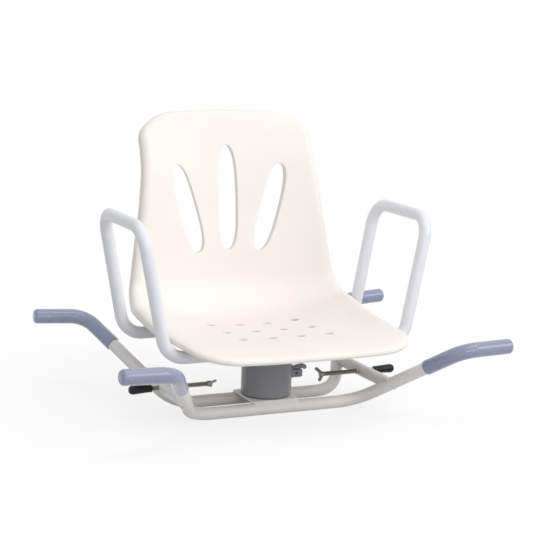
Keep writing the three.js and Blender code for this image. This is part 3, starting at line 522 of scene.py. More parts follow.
bar_lines = {name: bar_line(end) for name, end in ENDS}
for end_name, line in bar_lines.items():
    bar = bent_tube(f"{end_name}_bar_tube", line, FRAME_COATING)
    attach(bar, "base")
    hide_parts(f"{end_name}_bar")

# Braces: a short tube on each side joins the two bars. Its ends are cut to the round of the bars and welded
# there, and a hole through its middle takes the threaded bush of the adjuster.
BRACE_X = 191.7
BRACE_Z = 52.03
BUSH_RADIUS = 5.2
WELD_RADIUS = 1.5
WELD_SPACING = 0.35
WELD_SEED = 3
BRACE_STEPS = 10


def distance_to(line, place, stations):
    return min((line.at(d)[0] - place).length for d in stations)


def saddle(x, angle, end_name, end):
    """Where a line along the side of a brace meets the surface of a bar."""
    line = bar_lines[end_name]
    z = BRACE_Z + TUBE_RADIUS * math.sin(angle)
    x = x + TUBE_RADIUS * math.cos(angle)
    near = [d * 2.0 for d in range(int(line.total / 2)) if abs(line.at(d * 2.0)[0].x - x) < 30]
    low, high = BAR_FOOT_Y + 1.0, BAR_FOOT_Y + 66.0
    for i in range(18):
        middle = (low + high) / 2
        if distance_to(line, Vector((x, end * middle, z)), near) > TUBE_RADIUS:
            low = middle
        else:
            high = middle
    return Vector((x, end * low, z))


def weld_tree():
    """Overlapping beads of weld metal along a line, each a little different from the next."""
    tree, given, out = new_tree("weld bead", "GeometryNodeTree", [
        ("Geometry", "geometry"), ("Bead Radius", "float", 0.002), ("Spacing", "float", 0.0017),
        ("Seed", "int", 7), ("Coating", "material")], [("Geometry", "geometry")])
    line = add_node(tree, "GeometryNodeMeshToCurve", {"Mesh": given["Geometry"]})
    places = add_node(tree, "GeometryNodeResampleCurve", {"Curve": line, "Length": given["Spacing"]},
                      mode="LENGTH")
    bead = add_node(tree, "GeometryNodeMeshIcoSphere", {"Radius": given["Bead Radius"], "Subdivisions": 2})
    tangent = add_node(tree, "GeometryNodeInputTangent")
    turn = add_node(tree, "FunctionNodeAlignRotationToVector", {"Vector": tangent}, axis="Z")
    size = add_node(tree, "FunctionNodeRandomValue", {"Min": 0.97, "Max": 1.03, "Seed": given["Seed"]},
                    data_type="FLOAT")
    scale = next(socket for socket in size.outputs if socket.enabled)
    spread = add_node(tree, "GeometryNodeInstanceOnPoints", {
        "Points": places, "Instance": bead, "Rotation": turn, "Scale": scale})
    return finish_tree(tree, spread, given["Coating"], out)


WELD = weld_tree()


def weld(name, loops, seed):
    """A weld along closed lines of places."""
    points = []
    edges = []
    for places in loops:
        first = len(points)
        points += places
        edges += [(i, i + 1) for i in range(first, len(points) - 1)] + [(len(points) - 1, first)]
    made = new_object(name, points, edges=edges)
    apply_tree(made, WELD, {"Bead Radius": WELD_RADIUS * MM, "Spacing": WELD_SPACING * MM, "Seed": seed,
                            "Coating": FRAME_COATING})
    settle(made, 80)
    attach(made, "base")


for side_name, side in SIDES:
    angles = [2 * math.pi * i / TUBE_SIDES for i in range(TUBE_SIDES)]
    seams = {end_name: [saddle(side * BRACE_X, a, end_name, end) for a in angles] for end_name, end in ENDS}
    points = []
    faces = []
    for step in range(BRACE_STEPS + 1):
        ring = list(range(len(points), len(points) + TUBE_SIDES))
        points += [f.lerp(r, step / BRACE_STEPS) for f, r in zip(seams["front"], seams["rear"])]
        if step:
            faces += bridge(ring, [v - TUBE_SIDES for v in ring])
    brace = new_object(f"{side_name}_brace_tube", points, faces)
    hollow(brace)
    brace.data.materials.append(FRAME_COATING)
    through = [(side * BRACE_X + reach, 0, BRACE_Z) for reach in (-2 * TUBE_RADIUS, 2 * TUBE_RADIUS)]
    carve(brace, cylinder("hole", *through, BUSH_RADIUS + 0.1))
    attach(brace, "base")
    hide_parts(f"{side_name}_brace")
    weld(f"{side_name}_brace_welds", seams.values(), WELD_SEED + side)

# Base plate: a flat steel plate with rounded corners, laid across the two bars, welded to them along its
# front and rear edges and coated together with them. The post of the swivel is bolted on it.
PLATE_HALF = (44.6, 43.2)
PLATE_CORNER = 3.5
PLATE_BOTTOM = 21.55
PLATE_TOP = 25.55
PLATE_EDGE_ROUND = 1.5

plate = prism("base_plate_coated", rounded_outline(*PLATE_HALF, PLATE_CORNER), PLATE_BOTTOM, PLATE_TOP)
plate.data.materials.append(FRAME_COATING)
soften(plate, PLATE_EDGE_ROUND)
settle(plate, 50)
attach(plate, "base")
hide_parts("base_plate")

# The plate's welds are ground smooth: each is a slope from the plate's edge down to the side of its bar.
seam_x = PLATE_HALF[0] - PLATE_CORNER
slope = [(40, 17), (48.2, 16.2), (46.9, 18.5), (45.4, 21), (44.3, 23)]
slope += [(PLATE_HALF[1] + d, PLATE_TOP - e) for d, e in ((0.5, 1.5), (0, 0.8), (-0.8, 0.2), (-3, 0.2))]
front_slope = [(-u, v) for u, v in reversed(slope)]
plate_welds = prism("base_plate_welds", slope, -seam_x, seam_x, along_bars)
carve(plate_welds, prism("front_weld", front_slope, -seam_x, seam_x, along_bars), operation="UNION")
plate_welds.data.materials.append(FRAME_COATING)
soften(plate_welds, 0.8, 3, 50)
settle(plate_welds, 50)
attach(plate_welds, "base")

# Grip sleeves: thick blue-grey vinyl, dipped and glossy, pushed over the four ends of the bars. Each is
# closed and round at the tip, follows the bend of the bar, and has a soft round edge at its cuff.
GRIP_RADIUS = 13
GRIP_END_WALL = 3.5
GRIP_END_ROUND = 6.5
GRIP_CUFF = 5
CUFF_ROUND = 1.5
BORE_DEPTH = 12
GRIP_REACH = 74
GRIP_COLOUR = (0.255, 0.285, 0.42, 1)
GRIP_LENGTH = math.dist(BAR_TIP, BAR_UPPER) + GRIP_REACH
VINYL = finish_material(
    "dipped vinyl", GRIP_COLOUR, 0.28, 0.95, (0.006, 0.008), 0.03, 0.04,
    rub=((0.3, 0.34, 0.47, 1), 0.5), constants={"Coat Weight": 0.7, "Coat Roughness": 0.035})


def grip_profile():
    """Distances from the tube's end and radii: the round tip, the sleeve, the round edge of the cuff, and the
    inner side.
    """
    tip = (GRIP_END_ROUND - GRIP_END_WALL, GRIP_RADIUS - GRIP_END_ROUND)
    profile = [(-GRIP_END_WALL, 0)] + arc(tip, GRIP_END_ROUND, 180, 90, 8)
    sleeve = np.linspace(GRIP_END_ROUND, GRIP_LENGTH - GRIP_CUFF, 40)
    profile += [(float(distance), GRIP_RADIUS) for distance in sleeve]
    profile += arc((GRIP_LENGTH - CUFF_ROUND, GRIP_RADIUS - CUFF_ROUND), CUFF_ROUND, 90, 0, 6)[1:]
    bore = TUBE_RADIUS + 0.1
    return profile + [(GRIP_LENGTH, bore), (GRIP_LENGTH - BORE_DEPTH, bore), (GRIP_LENGTH - BORE_DEPTH, 0)]


for end_name, line in bar_lines.items():
    for side_name, side in SIDES:
        places = [(d if side < 0 else line.total - d, r) for d, r in grip_profile()]
        sleeve = skin_along(f"{end_name}_{side_name}_sleeve", line, places)
        sleeve.data.materials.append(VINYL)
        settle(sleeve, 50)
        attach(sleeve, "base")
        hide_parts(f"{end_name}_{side_name}_grip")

# Swivel: the turned steel post with its flange, the notched disc of the lock, the hub tube, the support
# plate and the retaining washer. They are zinc plated, and the bushes and the thrust washer are acetal.
STEEL_COLOUR = (0.50, 0.48, 0.45, 1)
ACETAL_COLOUR = (0.66, 0.63, 0.55, 1)

TURNED_STEEL = metal_material("turned plated steel", STEEL_COLOUR, 0.34, (60, 60, 1600),
                              (0.40, 0.36, 0.31, 1))
ROLLED_STEEL = metal_material("rolled plated steel", STEEL_COLOUR, 0.4, (900, 60, 60),
                              (0.42, 0.40, 0.37, 1))
ACETAL = finish_material("acetal", ACETAL_COLOUR, 0.38, 0.95, (0.001, 0.06), 0.02, 0.06)


def dress(material, *names):
    """Gives CAD pieces that keep their shape a material of this file."""
    for name in names:
        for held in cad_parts[name].material_slots:
            held.material = material
        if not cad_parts[name].material_slots:
            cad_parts[name].data.materials.append(material)


dress(TURNED_STEEL, "spindle", "index_plate", "hub_tube", "retaining_washer", "retaining_bolt", "lever_pin")
dress(ROLLED_STEEL, "support_plate")
dress(ACETAL, "thrust_washer", "lower_bush", "upper_bush")

# Bolts and screws: plated hexagon bolts hold the post on the base plate and the seat on the support plate,
# and three cross-recessed screws hold the column cover. Their heads are forged, with a chamfered rim.
ARM_FRONT_Y = -84
ARM_REAR_Y = 107
BOLT_HEAD_HEIGHT = 4
BOLT_SHANK = 3
HEAD_CROWN_SHARE = 0.86
HEAD_FLAT_SHARE = 0.78


def fastener_tree():
    """One head and its shank stood on every point of a mesh."""
    tree, given, out = new_tree("fasteners", "GeometryNodeTree", [
        ("Geometry", "geometry"), ("Corners", "int", 6), ("Head Radius", "float", 0.0056),
        ("Head Height", "float", 0.004), ("Shank Radius", "float", 0.003), ("Shank Length", "float", 0.02),
        ("Upside", "float", 1.0), ("Plating", "material")], [("Geometry", "geometry")])
    slim = sum_of(tree, "MULTIPLY", given["Head Radius"], HEAD_CROWN_SHARE)
    low = sum_of(tree, "MULTIPLY", given["Head Height"], HEAD_FLAT_SHARE)
    crown = sum_of(tree, "MULTIPLY", given["Head Height"], 1 - HEAD_FLAT_SHARE)
    body = add_node(tree, "GeometryNodeMeshCylinder", {
        "Vertices": given["Corners"], "Radius": given["Head Radius"], "Depth": low})
    rim = add_node(tree, "GeometryNodeMeshCone", {
        "Vertices": given["Corners"], "Radius Top": slim, "Radius Bottom": given["Head Radius"],
        "Depth": crown})
    shank = add_node(tree, "GeometryNodeMeshCylinder", {
        "Vertices": 20, "Radius": given["Shank Radius"], "Depth": given["Shank Length"]})
    half_low = sum_of(tree, "MULTIPLY", low, 0.5)
    half_shank = sum_of(tree, "MULTIPLY", given["Shank Length"], -0.5)
    joined = join(tree, raised(tree, body, half_low), raised(tree, rim, low), raised(tree, shank, half_shank))
    half_turn = sum_of(tree, "MULTIPLY_ADD", given["Upside"], -math.pi / 2, math.pi / 2)
    turn = add_node(tree, "ShaderNodeCombineXYZ", {"X": half_turn})
    stood = add_node(tree, "GeometryNodeInstanceOnPoints", {
        "Points": given["Geometry"], "Instance": joined, "Rotation": turn})
    return finish_tree(tree, stood, given["Plating"], out)


FASTENERS = fastener_tree()


def fasteners(name, places, body, nodes, corners, head, shank, upside):
    """Bolts or screws with their heads at the given places, up (1) or down (-1). A head has a radius and a
    height, and a shank a radius and a length."""
    made = new_object(name, places)
    apply_tree(made, FASTENERS, {
        "Corners": corners, "Head Radius": head[0] * MM, "Head Height": head[1] * MM,
        "Shank Radius": shank[0] * MM, "Shank Length": shank[1] * MM, "Upside": float(upside),
        "Plating": TURNED_STEEL})
    settle(made, 20)
    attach(made, body)
    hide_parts(*nodes)
    return made


SEAT_GAP = 0.3  # between a bolt's head and the plate it is tightened on
POST_FLANGE_TOP = 31.85
SUPPORT_BOTTOM = 108.7
SEAT_BOLT_X = 50
POST_BOLT_CIRCLE = 28
COVER_SCREW_CIRCLE = 36
COVER_SCREW_Z = 105.1
fasteners("post_bolts", on_circle(POST_BOLT_CIRCLE, POST_FLANGE_TOP + SEAT_GAP, 4, 45), "base",
          [f"spindle_bolt_{i}" for i in (1, 2, 3, 4)], 6, (5.4, BOLT_HEAD_HEIGHT), (BOLT_SHANK, 15.3), 1)
seat_bolts = [(side * SEAT_BOLT_X, y, SUPPORT_BOTTOM - SEAT_GAP)
              for side in (-1, 1) for y in (ARM_FRONT_Y, ARM_REAR_Y)]
fasteners("seat_bolts", seat_bolts, "seat",
          [f"{s}_{e}_seat_bolt" for s in ("left", "right") for e in ("front", "rear")],
          6, (5.6, BOLT_HEAD_HEIGHT), (BOLT_SHANK, 24.5), -1)
fasteners("cover_screws", on_circle(COVER_SCREW_CIRCLE, COVER_SCREW_Z, 3, 60), "seat",
          [f"cover_screw_{i}" for i in (1, 2, 3)], 18, (3.6, 1.6), (2, 7.5), -1)

# Column cover: a drum of grey moulded plastic that hangs from the support plate round the swivel and turns
# with the seat. It has a rounded lower rim and a window through which the lock reaches its notched disc.
COVER_RADIUS = 44
COVER_WALL = 3
COVER_BOTTOM = 27.9
COVER_TOP = 108.4
COVER_FLANGE = 31
COVER_ROUND = 0.9
WINDOW_HALF_WIDTH = 7
WINDOW_BOTTOM = 49
WINDOW_TOP = 73
HOUSING_COLOUR = (0.234, 0.24, 0.258, 1)
GREY_PLASTIC = finish_material(
    "grey moulded plastic", HOUSING_COLOUR, 0.36, 0.93, (0.0009, 0.22), 0.05, 0.07,
    rub=((0.24, 0.245, 0.26, 1), 0.1), dust=((0.3, 0.3, 0.3, 1), 0.12),
    constants={"Coat Weight": 0.12, "Coat Roughness": 0.2})

cover_inner = COVER_RADIUS - COVER_WALL
cover_profile = [(cover_inner, COVER_BOTTOM + 0.5), (cover_inner + 0.5, COVER_BOTTOM)]
cover_profile += arc((COVER_RADIUS - COVER_ROUND, COVER_BOTTOM + COVER_ROUND), COVER_ROUND, -90, 0)
cover_profile += [(COVER_RADIUS, z) for z in (45, 60, 75, 90)]
cover_profile += arc((COVER_RADIUS - 0.8, COVER_TOP - 0.8), 0.8, 0, 90, 3)
cover_profile += [(COVER_FLANGE, COVER_TOP), (COVER_FLANGE, COVER_TOP - COVER_WALL),
                  (cover_inner, COVER_TOP - COVER_WALL)]
cover = turned("column_drum", cover_profile)
cover.data.materials.append(GREY_PLASTIC)
carve(cover, box("window", (cover_inner - 3, -WINDOW_HALF_WIDTH, WINDOW_BOTTOM),
                 (COVER_RADIUS + 3, WINDOW_HALF_WIDTH, WINDOW_TOP)))
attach(cover, "seat")
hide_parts("column_cover")

# Lock housing and lever: a grey moulded saddle on the right of the drum holds the pin of a lever. Its thumb
# end is pressed down to lift the nose out of the notched disc, so that the seat can turn.
LOCK_BOTTOM = 53
LOCK_TOP = 66.4
LOCK_REACH = 65.4
LOCK_HALF_WIDTH = 9.5
LOCK_FLANGE_HALF_WIDTH = 12
LOCK_ROUNDS = (3.5, 1.5)  # at the lower and at the upper outer edge
LEVER_HALF_WIDTH = 6.5
LEVER_WEB_HALF_WIDTH = 4
LEVER_SIDE_GAP = 0.4
WELL_FLOOR = 54.2
WELL_WALL = 2.4
RECESS_SIDE_GAP = 0.6
RECESS_FLOOR = 65.2
RECESS_REACH = 51
PIN_HOLE_RADIUS = 2.3
CUT_TOP = 80

housing_outline = [(COVER_RADIUS - 2, LOCK_BOTTOM)]
low_round, high_round = LOCK_ROUNDS
housing_outline += arc((LOCK_REACH - low_round, LOCK_BOTTOM + low_round), low_round, -90, 0)
housing_outline += arc((LOCK_REACH - high_round, LOCK_TOP - high_round), high_round, 0, 90, 3)
housing_outline += [(COVER_RADIUS - 2, LOCK_TOP)]
housing = prism("lock_saddle", housing_outline, -LOCK_HALF_WIDTH, LOCK_HALF_WIDTH, sideways)
housing.data.materials.append(GREY_PLASTIC)
flange = box("flange", (20, -LOCK_FLANGE_HALF_WIDTH, LOCK_BOTTOM),
             (COVER_RADIUS + 2, LOCK_FLANGE_HALF_WIDTH, LOCK_TOP + 3))
carve(housing, flange, operation="UNION")
drum = cylinder("drum", (0, 0, 30), (0, 0, 90), COVER_RADIUS + 0.1, 96)
web_room = LEVER_WEB_HALF_WIDTH + LEVER_SIDE_GAP
well = box("well", (0, -web_room, WELL_FLOOR), (LOCK_REACH - WELL_WALL, web_room, CUT_TOP))
thumb_room = LEVER_HALF_WIDTH + RECESS_SIDE_GAP
thumb_recess = box("thumb_recess", (COVER_RADIUS - 4, -thumb_room, RECESS_FLOOR),
                   (RECESS_REACH, thumb_room, CUT_TOP))
carve(housing, drum, well, thumb_recess)
soften(housing, 0.7, 3, 40)
settle(housing, 40)
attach(housing, "seat")
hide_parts("lock_housing")

LEVER_PIVOT = (54, 60)
LEVER_TIP = (70.9, 69.6)
thumb_outline = [(46.6, 67.6), (62, 67.6), (65.4, 67.2)]
thumb_outline += arc(LEVER_TIP, 4.1, 215, 445, 18)
thumb_outline += [(67, 73.2), (62, 72.6), (56, 71.5), (50, 70.9), (47.4, 70.7), (46.6, 70)]
lever = prism("lock_lever_moulding", thumb_outline, -LEVER_HALF_WIDTH, LEVER_HALF_WIDTH, sideways)
lever.data.materials.append(GREY_PLASTIC)
web_outline = [(49, 63.2), (49, 60)] + arc(LEVER_PIVOT, 5, 180, 360, 12)
web_outline += [(59, 62)] + arc((62.6, 62), 3.6, 180, 90, 5)[1:] + [(62.6, 69), (49, 69)]
web = prism("web", web_outline, -LEVER_WEB_HALF_WIDTH, LEVER_WEB_HALF_WIDTH, sideways)
arm_outline = [(28, 50.5), (34, 50.5), (34, 56.8), (54, 56.8), (54, 63.2), (28, 63.2)]
inner_arm = prism("inner_arm", arm_outline, -LEVER_WEB_HALF_WIDTH, LEVER_WEB_HALF_WIDTH, sideways)
carve(lever, web, inner_arm, operation="UNION")
pin_x, pin_z = LEVER_PIVOT
carve(lever, cylinder("pin_hole", (pin_x, -10, pin_z), (pin_x, 10, pin_z), PIN_HOLE_RADIUS, 24))
soften(lever, 0.8, 3, 40)
settle(lever, 40)
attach(lever, "lock_lever")
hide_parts("lock_lever")

# Armrests: each is one loop of steel tube with a white gloss coating. Its two legs turn inward under the
# seat, where they lie in channels of the shell and are bolted through to the support plate.
ARM_INNER_X = 42
ARM_Z = 123.625
ARM_TOP_Z = 339
ARM_BENDS = (40, 38, 38, 40)
ARMREST_COLOUR = (0.80, 0.812, 0.848, 1)
GLOSS_COATING = finish_material(
    "white gloss coating", ARMREST_COLOUR, 0.3, 0.975, (0.0022, 0.16), 0.15, 0.05,
    rub=((0.6, 0.6, 0.6, 1), 0.2), constants={"Coat Weight": 0.25, "Coat Roughness": 0.15})


def armrest_line(side):
    """The middle line of an armrest, from its rear leg under the seat to its front leg."""
    corners = [(ARM_INNER_X, ARM_REAR_Y, ARM_Z), (225, ARM_REAR_Y, ARM_Z), (265, 111, ARM_TOP_Z),
               (265, -78, ARM_TOP_Z), (222, ARM_FRONT_Y, ARM_Z), (ARM_INNER_X, ARM_FRONT_Y, ARM_Z)]
    return BentLine([(side * x, y, z) for x, y, z in corners], ARM_BENDS)


armrest_lines = {name: armrest_line(side) for name, side in SIDES}
for side_name, line in armrest_lines.items():
    armrest = bent_tube(f"{side_name}_armrest_tube", line, GLOSS_COATING)
    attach(armrest, "seat")
    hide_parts(f"{side_name}_armrest")

# Seat shell: one moulding in warm white plastic, the pan and the back in one sweep. It is dished across,
# with a thick rolled rim that carries the parting line, three leaf-shaped slots and twelve drain holes, whose
# dents are darkened with painted shade.
SEAT_COLOUR = (0.915, 0.87, 0.825, 1)
SEAT_LINE = BentLine([(0, -180, 140), (0, -124, 145.7), (0, 172.6, 131.7), (0, 218.6, 495)], (160, 78))
SEAT_LENGTH = SEAT_LINE.total
SEAT_HALF_WIDTH = 201
SEAT_DISH = 48
RIM_THICKNESS = 23
RIM_TAPER = 4
FRONT_THICKNESS = 13.5
RIM_INSET = 12
RIM_OVERHANG = 9
RIM_ROUND = (19.5, 13.5)  # at the front of the pan, and round the back
RIM_LOWER_ROUND = 6
LIP_HEIGHT = 6.6
LIP_PROUD = 0.8
PANEL_THICKNESS = 11.5
FRONT_CORNER = 66
TOP_CORNER = 40
TOP_ARCH = 9
ARCH_REACH = 120
SEAT_SPACING = 5.5
LOOP_CLEARANCE = 2.2
CHANNEL_RADIUS = 11.1
CHANNEL_PLACES = (96, 287)  # along the middle line
# Along the middle line: place, half width, depth of the dish, how late across the width it rises, and how
# far its middle stands forward
SEAT_SHARES = np.array([
    (0, .97, .15, 3.2, 0), (.075, .958, .15, 3.2, 0), (.18, .973, .27, 3.1, 0), (.29, .993, .5, 2.9, 0),
    (.385, .997, .83, 2.6, 0), (.475, .968, .99, 2.3, 0), (.56, .934, .92, 2.1, .095),
    (.67, .879, .87, 2, .27), (.75, .835, .89, 2, .27), (.81, .81, .86, 2, .27), (.86, .791, .76, 2, .27),
    (.91, .784, .56, 2, .27), (.955, .78, .34, 2, .27), (1, .71, .05, 2, .27)])
# Painted shade: the dark colour painted into each drain dent and hole, deepest in the hole.
PAINTED_DRAIN_SHADE = (0.27, 0.245, 0.22, 1)
MOULDED_PLASTIC = finish_material(
    "warm white moulded plastic", SEAT_COLOUR, 0.46, 0.985, (0.0011, 0.16), 0.14, 0.06,
    constants={"Specular IOR Level": 0.45})
# The drain dents take painted shade: the plastic's colour blends towards the dark drain colour by a point
# attribute that rises into each hole.
tree = MOULDED_PLASTIC.node_tree
colour_input = tree.nodes["Principled BSDF"].inputs["Base Color"]
drain_shade_mask = add_node(tree, "ShaderNodeAttribute", attribute_name="painted_drain_shade").outputs["Fac"]
tree.links.new(blend_colours(tree, drain_shade_mask, colour_input.links[0].from_socket, PAINTED_DRAIN_SHADE), colour_input)

line_samples = np.arange(-20, SEAT_LENGTH + 20, 0.25)
line_places = np.array([[*SEAT_LINE.at(d)[0][1:], *SEAT_LINE.at(d)[1][1:]] for d in line_samples])


def shares_at(distance):
    """The table at distances along the middle line, on a smooth curve through its rows."""
    rows = SEAT_SHARES
    place = np.clip(distance / SEAT_LENGTH, 0, 1)
    i = np.clip(np.searchsorted(rows[:, 0], place, side="right") - 1, 0, len(rows) - 2)
    before = rows[np.maximum(i - 1, 0)]
    low = rows[i]
    high = rows[i + 1]
    after = rows[np.minimum(i + 2, len(rows) - 1)]
    span = (high - low)[:, :1]
    t = (place[:, None] - low[:, :1]) / span
    m1 = (high - before)[:, 1:] / (high - before)[:, :1] * span
    m2 = (after - low)[:, 1:] / (after - low)[:, :1] * span
    made = (2 * t ** 3 - 3 * t ** 2 + 1) * low[:, 1:] + (t ** 3 - 2 * t ** 2 + t) * m1
    made += (3 * t ** 2 - 2 * t ** 3) * high[:, 1:] + (t ** 3 - t ** 2) * m2
    return made[:, 0] * SEAT_HALF_WIDTH, made[:, 1] * SEAT_DISH, made[:, 2], made[:, 3]


def sitting_points(x, distance):
    """Places on the sitting side."""
    y, z, ty, tz = (np.interp(distance, line_samples, column) for column in line_places.T)
    width, dish, rise, forward = shares_at(distance)
    across = np.minimum(np.abs(x) / width, 1.2) ** rise
    lift = dish * (forward + (1 - forward) * across)
    return np.stack([x, y - lift * tz, z + lift * ty], axis=1)


def unit(vectors):
    return vectors / np.linalg.norm(vectors, axis=1, keepdims=True)


def sitting_normals(x, distance):
    across = sitting_points(x + 1, distance) - sitting_points(x - 1, distance)
    along = sitting_points(x, distance + 1) - sitting_points(x, distance - 1)
    return unit(np.cross(across, along))


def arched(x, distance):
    """The top edge is arched, and what lies below it follows."""
    near_top = np.maximum(0, 1 - (SEAT_LENGTH - distance) / ARCH_REACH)
    return distance - TOP_ARCH * (x / SEAT_HALF_WIDTH) ** 2 * near_top ** 2


def half_width(distance):
    """Half the width of the flat outline, with its round corners."""
    width = shares_at(distance)[0]
    front = np.clip(1 - distance / FRONT_CORNER, 0, 1)
    top = np.clip(1 - (SEAT_LENGTH - distance) / TOP_CORNER, 0, 1)
    width = width - FRONT_CORNER * (1 - np.sqrt(1 - front ** 2))
    return width - TOP_CORNER * (1 - np.sqrt(1 - top ** 2))


def ease(value, low, high):
    t = np.clip((value - low) / (high - low), 0, 1)
    return t * t * (3 - 2 * t)


def shell_thickness(x, distance):
    place = distance / SEAT_LENGTH
    rim = FRONT_THICKNESS + (RIM_THICKNESS - FRONT_THICKNESS) * ease(place, 0.1, 0.4)
    along = ease(place, 0.08, 0.2) * (1 - ease(place, 0.88, 0.97))
    across = 1 - ease(np.abs(x) / np.maximum(half_width(distance), 1), 0.6, 0.95)
    return rim - (rim - PANEL_THICKNESS) * along * across


def mould_draw(x, distance, facing):
    """The way in which the mould opens: level where the slots are, and square to the surface elsewhere."""
    place = distance / SEAT_LENGTH
    share = ease(place, 0.58, 0.63) * (1 - ease(place, 0.925, 0.965)) * (1 - ease(np.abs(x), 127, 146))
    return unit(facing * (1 - share)[:, None] + share[:, None] * np.array((0, -1, 0)))


def seat_outline():
    """The flat outline, anticlockwise: across the front, up the right side, over the top and down."""
    right = []
    for i in range(22):
        right.append(FRONT_CORNER * (1 - math.cos(math.pi / 2 * i / 22)))
    right += list(np.arange(FRONT_CORNER, SEAT_LENGTH - TOP_CORNER, 5))
    for i in range(17):
        right.append(SEAT_LENGTH - TOP_CORNER * (1 - math.sin(math.pi / 2 * i / 16)))
    right = np.array(right)
    width = half_width(right)
    front = [(x, 0) for x in np.linspace(-width[0], width[0], 54)[1:-1]]
    top = [(x, SEAT_LENGTH) for x in np.linspace(width[-1], -width[-1], 46)[1:-1]]
    side = list(zip(width, right))
    return front + side + top + [(-x, d) for x, d in side[::-1]]


def flat_place(x, height=None, depth=None):
    """The distance along the middle line at which the sitting side has a height or a depth."""
    low = np.full(len(x), 380.0 if height is not None else 20.0)
    high = np.full(len(x), SEAT_LENGTH - 2 if height is not None else 330.0)
    for i in range(30):
        middle = (low + high) / 2
        found = sitting_points(x, arched(x, middle))
        short = found[:, 2] < height if height is not None else found[:, 1] < depth
        low = np.where(short, middle, low)
        high = np.where(short, high, middle)
    return (low + high) / 2


SLOT_ROUND = 1.6
# The leaf's upper and lower curve, in shares of its width and its length
LEAF_UPPER = ((0, 0.5), (0.438, 0.5), (0.5, 0.305), (0.5, -0.054))
LEAF_LOWER = ((0.5, -0.054), (0.5, -0.3), (0.45, -0.5), (0, -0.5))


def leaf_outline(length, width, steps=26):
    """A leaf, narrow and round above, widest below its middle, clockwise."""
    right = []
    for curve in (LEAF_UPPER, LEAF_LOWER):
        for i in range(steps):
            t = 0.5 - 0.5 * math.cos(math.pi * i / steps)
            share = ((1 - t) ** 3, 3 * t * (1 - t) ** 2, 3 * t ** 2 * (1 - t), t ** 3)
            right.append(tuple(np.dot(share, curve)))
    right = np.array(right + [LEAF_LOWER[-1]]) * (width, length)
    return np.concatenate([right, right[-2:0:-1] * (-1, 1)])


def widened(outline, amount):
    """An outline moved to the left of its direction, which is outward if it runs clockwise."""
    ahead = unit(np.roll(outline, -1, axis=0) - np.roll(outline, 1, axis=0))
    return outline + amount * np.stack([-ahead[:, 1], ahead[:, 0]], axis=1)


def slot_loop(middle_x, middle_z, length, width, lean):
    outline = widened(leaf_outline(length, width), SLOT_ROUND)
    turn = np.array([[math.cos(lean), math.sin(lean)], [-math.sin(lean), math.cos(lean)]])
    outline = outline @ turn.T + (middle_x, middle_z)
    return np.stack([outline[:, 0], flat_place(outline[:, 0], height=outline[:, 1])], axis=1)


# A slot's middle across and up, its length and width, and how far it leans
MIDDLE_SLOT = (0, 344.5, 189, 38.2, 0)
SIDE_SLOT = (80.9, 326.9, 164.2, 36.9, math.radians(15.8))
DRAIN_SPACING = (54, 67)
DRAIN_FRONT_Y = -72
DRAIN_RADIUS = 4.8
DRAIN_DISH = 10.4
DRAIN_DEPTH = 4.4


def drain_loop(x, y, count=28):
    centre = flat_place(np.array([x]), depth=y)[0]
    angles = -2 * np.pi * np.arange(count) / count
    return np.stack([x + DRAIN_DISH * np.cos(angles), centre + DRAIN_DISH * np.sin(angles)], axis=1)


def inside(points, loop):
    """Which points lie inside a closed loop."""
    found = np.zeros(len(points), bool)
    for (x1, y1), (x2, y2) in zip(loop, np.roll(loop, -1, axis=0)):
        between = (points[:, 1] < y1) != (points[:, 1] < y2)
        with np.errstate(divide="ignore", invalid="ignore"):
            crossing = (x2 - x1) * (points[:, 1] - y1) / (y2 - y1) + x1
        found ^= between & (points[:, 0] < crossing)
    return found


def rim_sections(distance, thick):
    """The rim from the sitting side over its soft round to the lip along its lower edge, and from below."""
    reach = RIM_INSET + RIM_OVERHANG
    width = RIM_ROUND[0] + (RIM_ROUND[1] - RIM_ROUND[0]) * ease(distance / SEAT_LENGTH, 0.2, 0.56)
    lip_top = thick - LIP_HEIGHT
    fall = np.minimum(width, lip_top - 1)
    over = []
    for angle in np.radians(range(0, 91, 9)):
        over.append((reach - width * (1 - math.sin(angle)), fall * (1 - math.cos(angle))))
    over += [(reach, lip_top - 0.7), (reach - 0.1, lip_top - 0.3), (reach + 0.1, lip_top - 0.1),
             (reach + LIP_PROUD - 0.2, lip_top), (reach + LIP_PROUD, lip_top + 0.25)]
    edge = reach + LIP_PROUD - RIM_LOWER_ROUND
    under = []
    for angle in np.radians(range(0, 91, 15)):
        under.append((edge + RIM_LOWER_ROUND * math.sin(angle), RIM_LOWER_ROUND * (1 - math.cos(angle))))
    taper = RIM_TAPER * ease(distance / SEAT_LENGTH, 0.1, 0.4)
    over = [(out - taper * np.maximum(0, down / thick - 0.4) / 0.6, down) for out, down in over]
    under = [(out - taper * np.maximum(0, 0.6 - up / thick) / 0.6, up) for out, up in under]
    return [(0, 0)] + over, [(0, 0)] + under


# From the sitting side into a slot or a drain hole: the way out and down from its loop
slot_profile = arc((0, SLOT_ROUND), SLOT_ROUND, -90, 0, 5)
drain_step = DRAIN_DISH - DRAIN_RADIUS
drain_profile = [(drain_step * t, DRAIN_DEPTH * (1 - math.cos(math.pi * t)) / 2)
                 for t in (0, 0.16, 0.32, 0.48, 0.64, 0.8, 0.92)] + [(drain_step, DRAIN_DEPTH + 0.5)]
drain_below = [(0, 0), (drain_step - 0.6, 0), (drain_step - 0.15, 0.15), (drain_step, 0.6)]

rim_loop = widened(np.array(seat_outline()), RIM_INSET)
loops = [(rim_loop, *rim_sections(rim_loop[:, 1], shell_thickness(*rim_loop.T)))]
loops.append((slot_loop(*MIDDLE_SLOT), slot_profile, slot_profile))
for side_name, side in SIDES:
    middle_x, middle_z, length, width, lean = SIDE_SLOT
    leaned = slot_loop(side * middle_x, middle_z, length, width, side * lean)
    loops.append((leaned, slot_profile, slot_profile))
for row in (2, 1, 0):
    for column in (-1.5, -0.5, 0.5, 1.5):
        place = (column * DRAIN_SPACING[0], DRAIN_FRONT_Y + row * DRAIN_SPACING[1])
        loops.append((drain_loop(*place), drain_profile, drain_below))


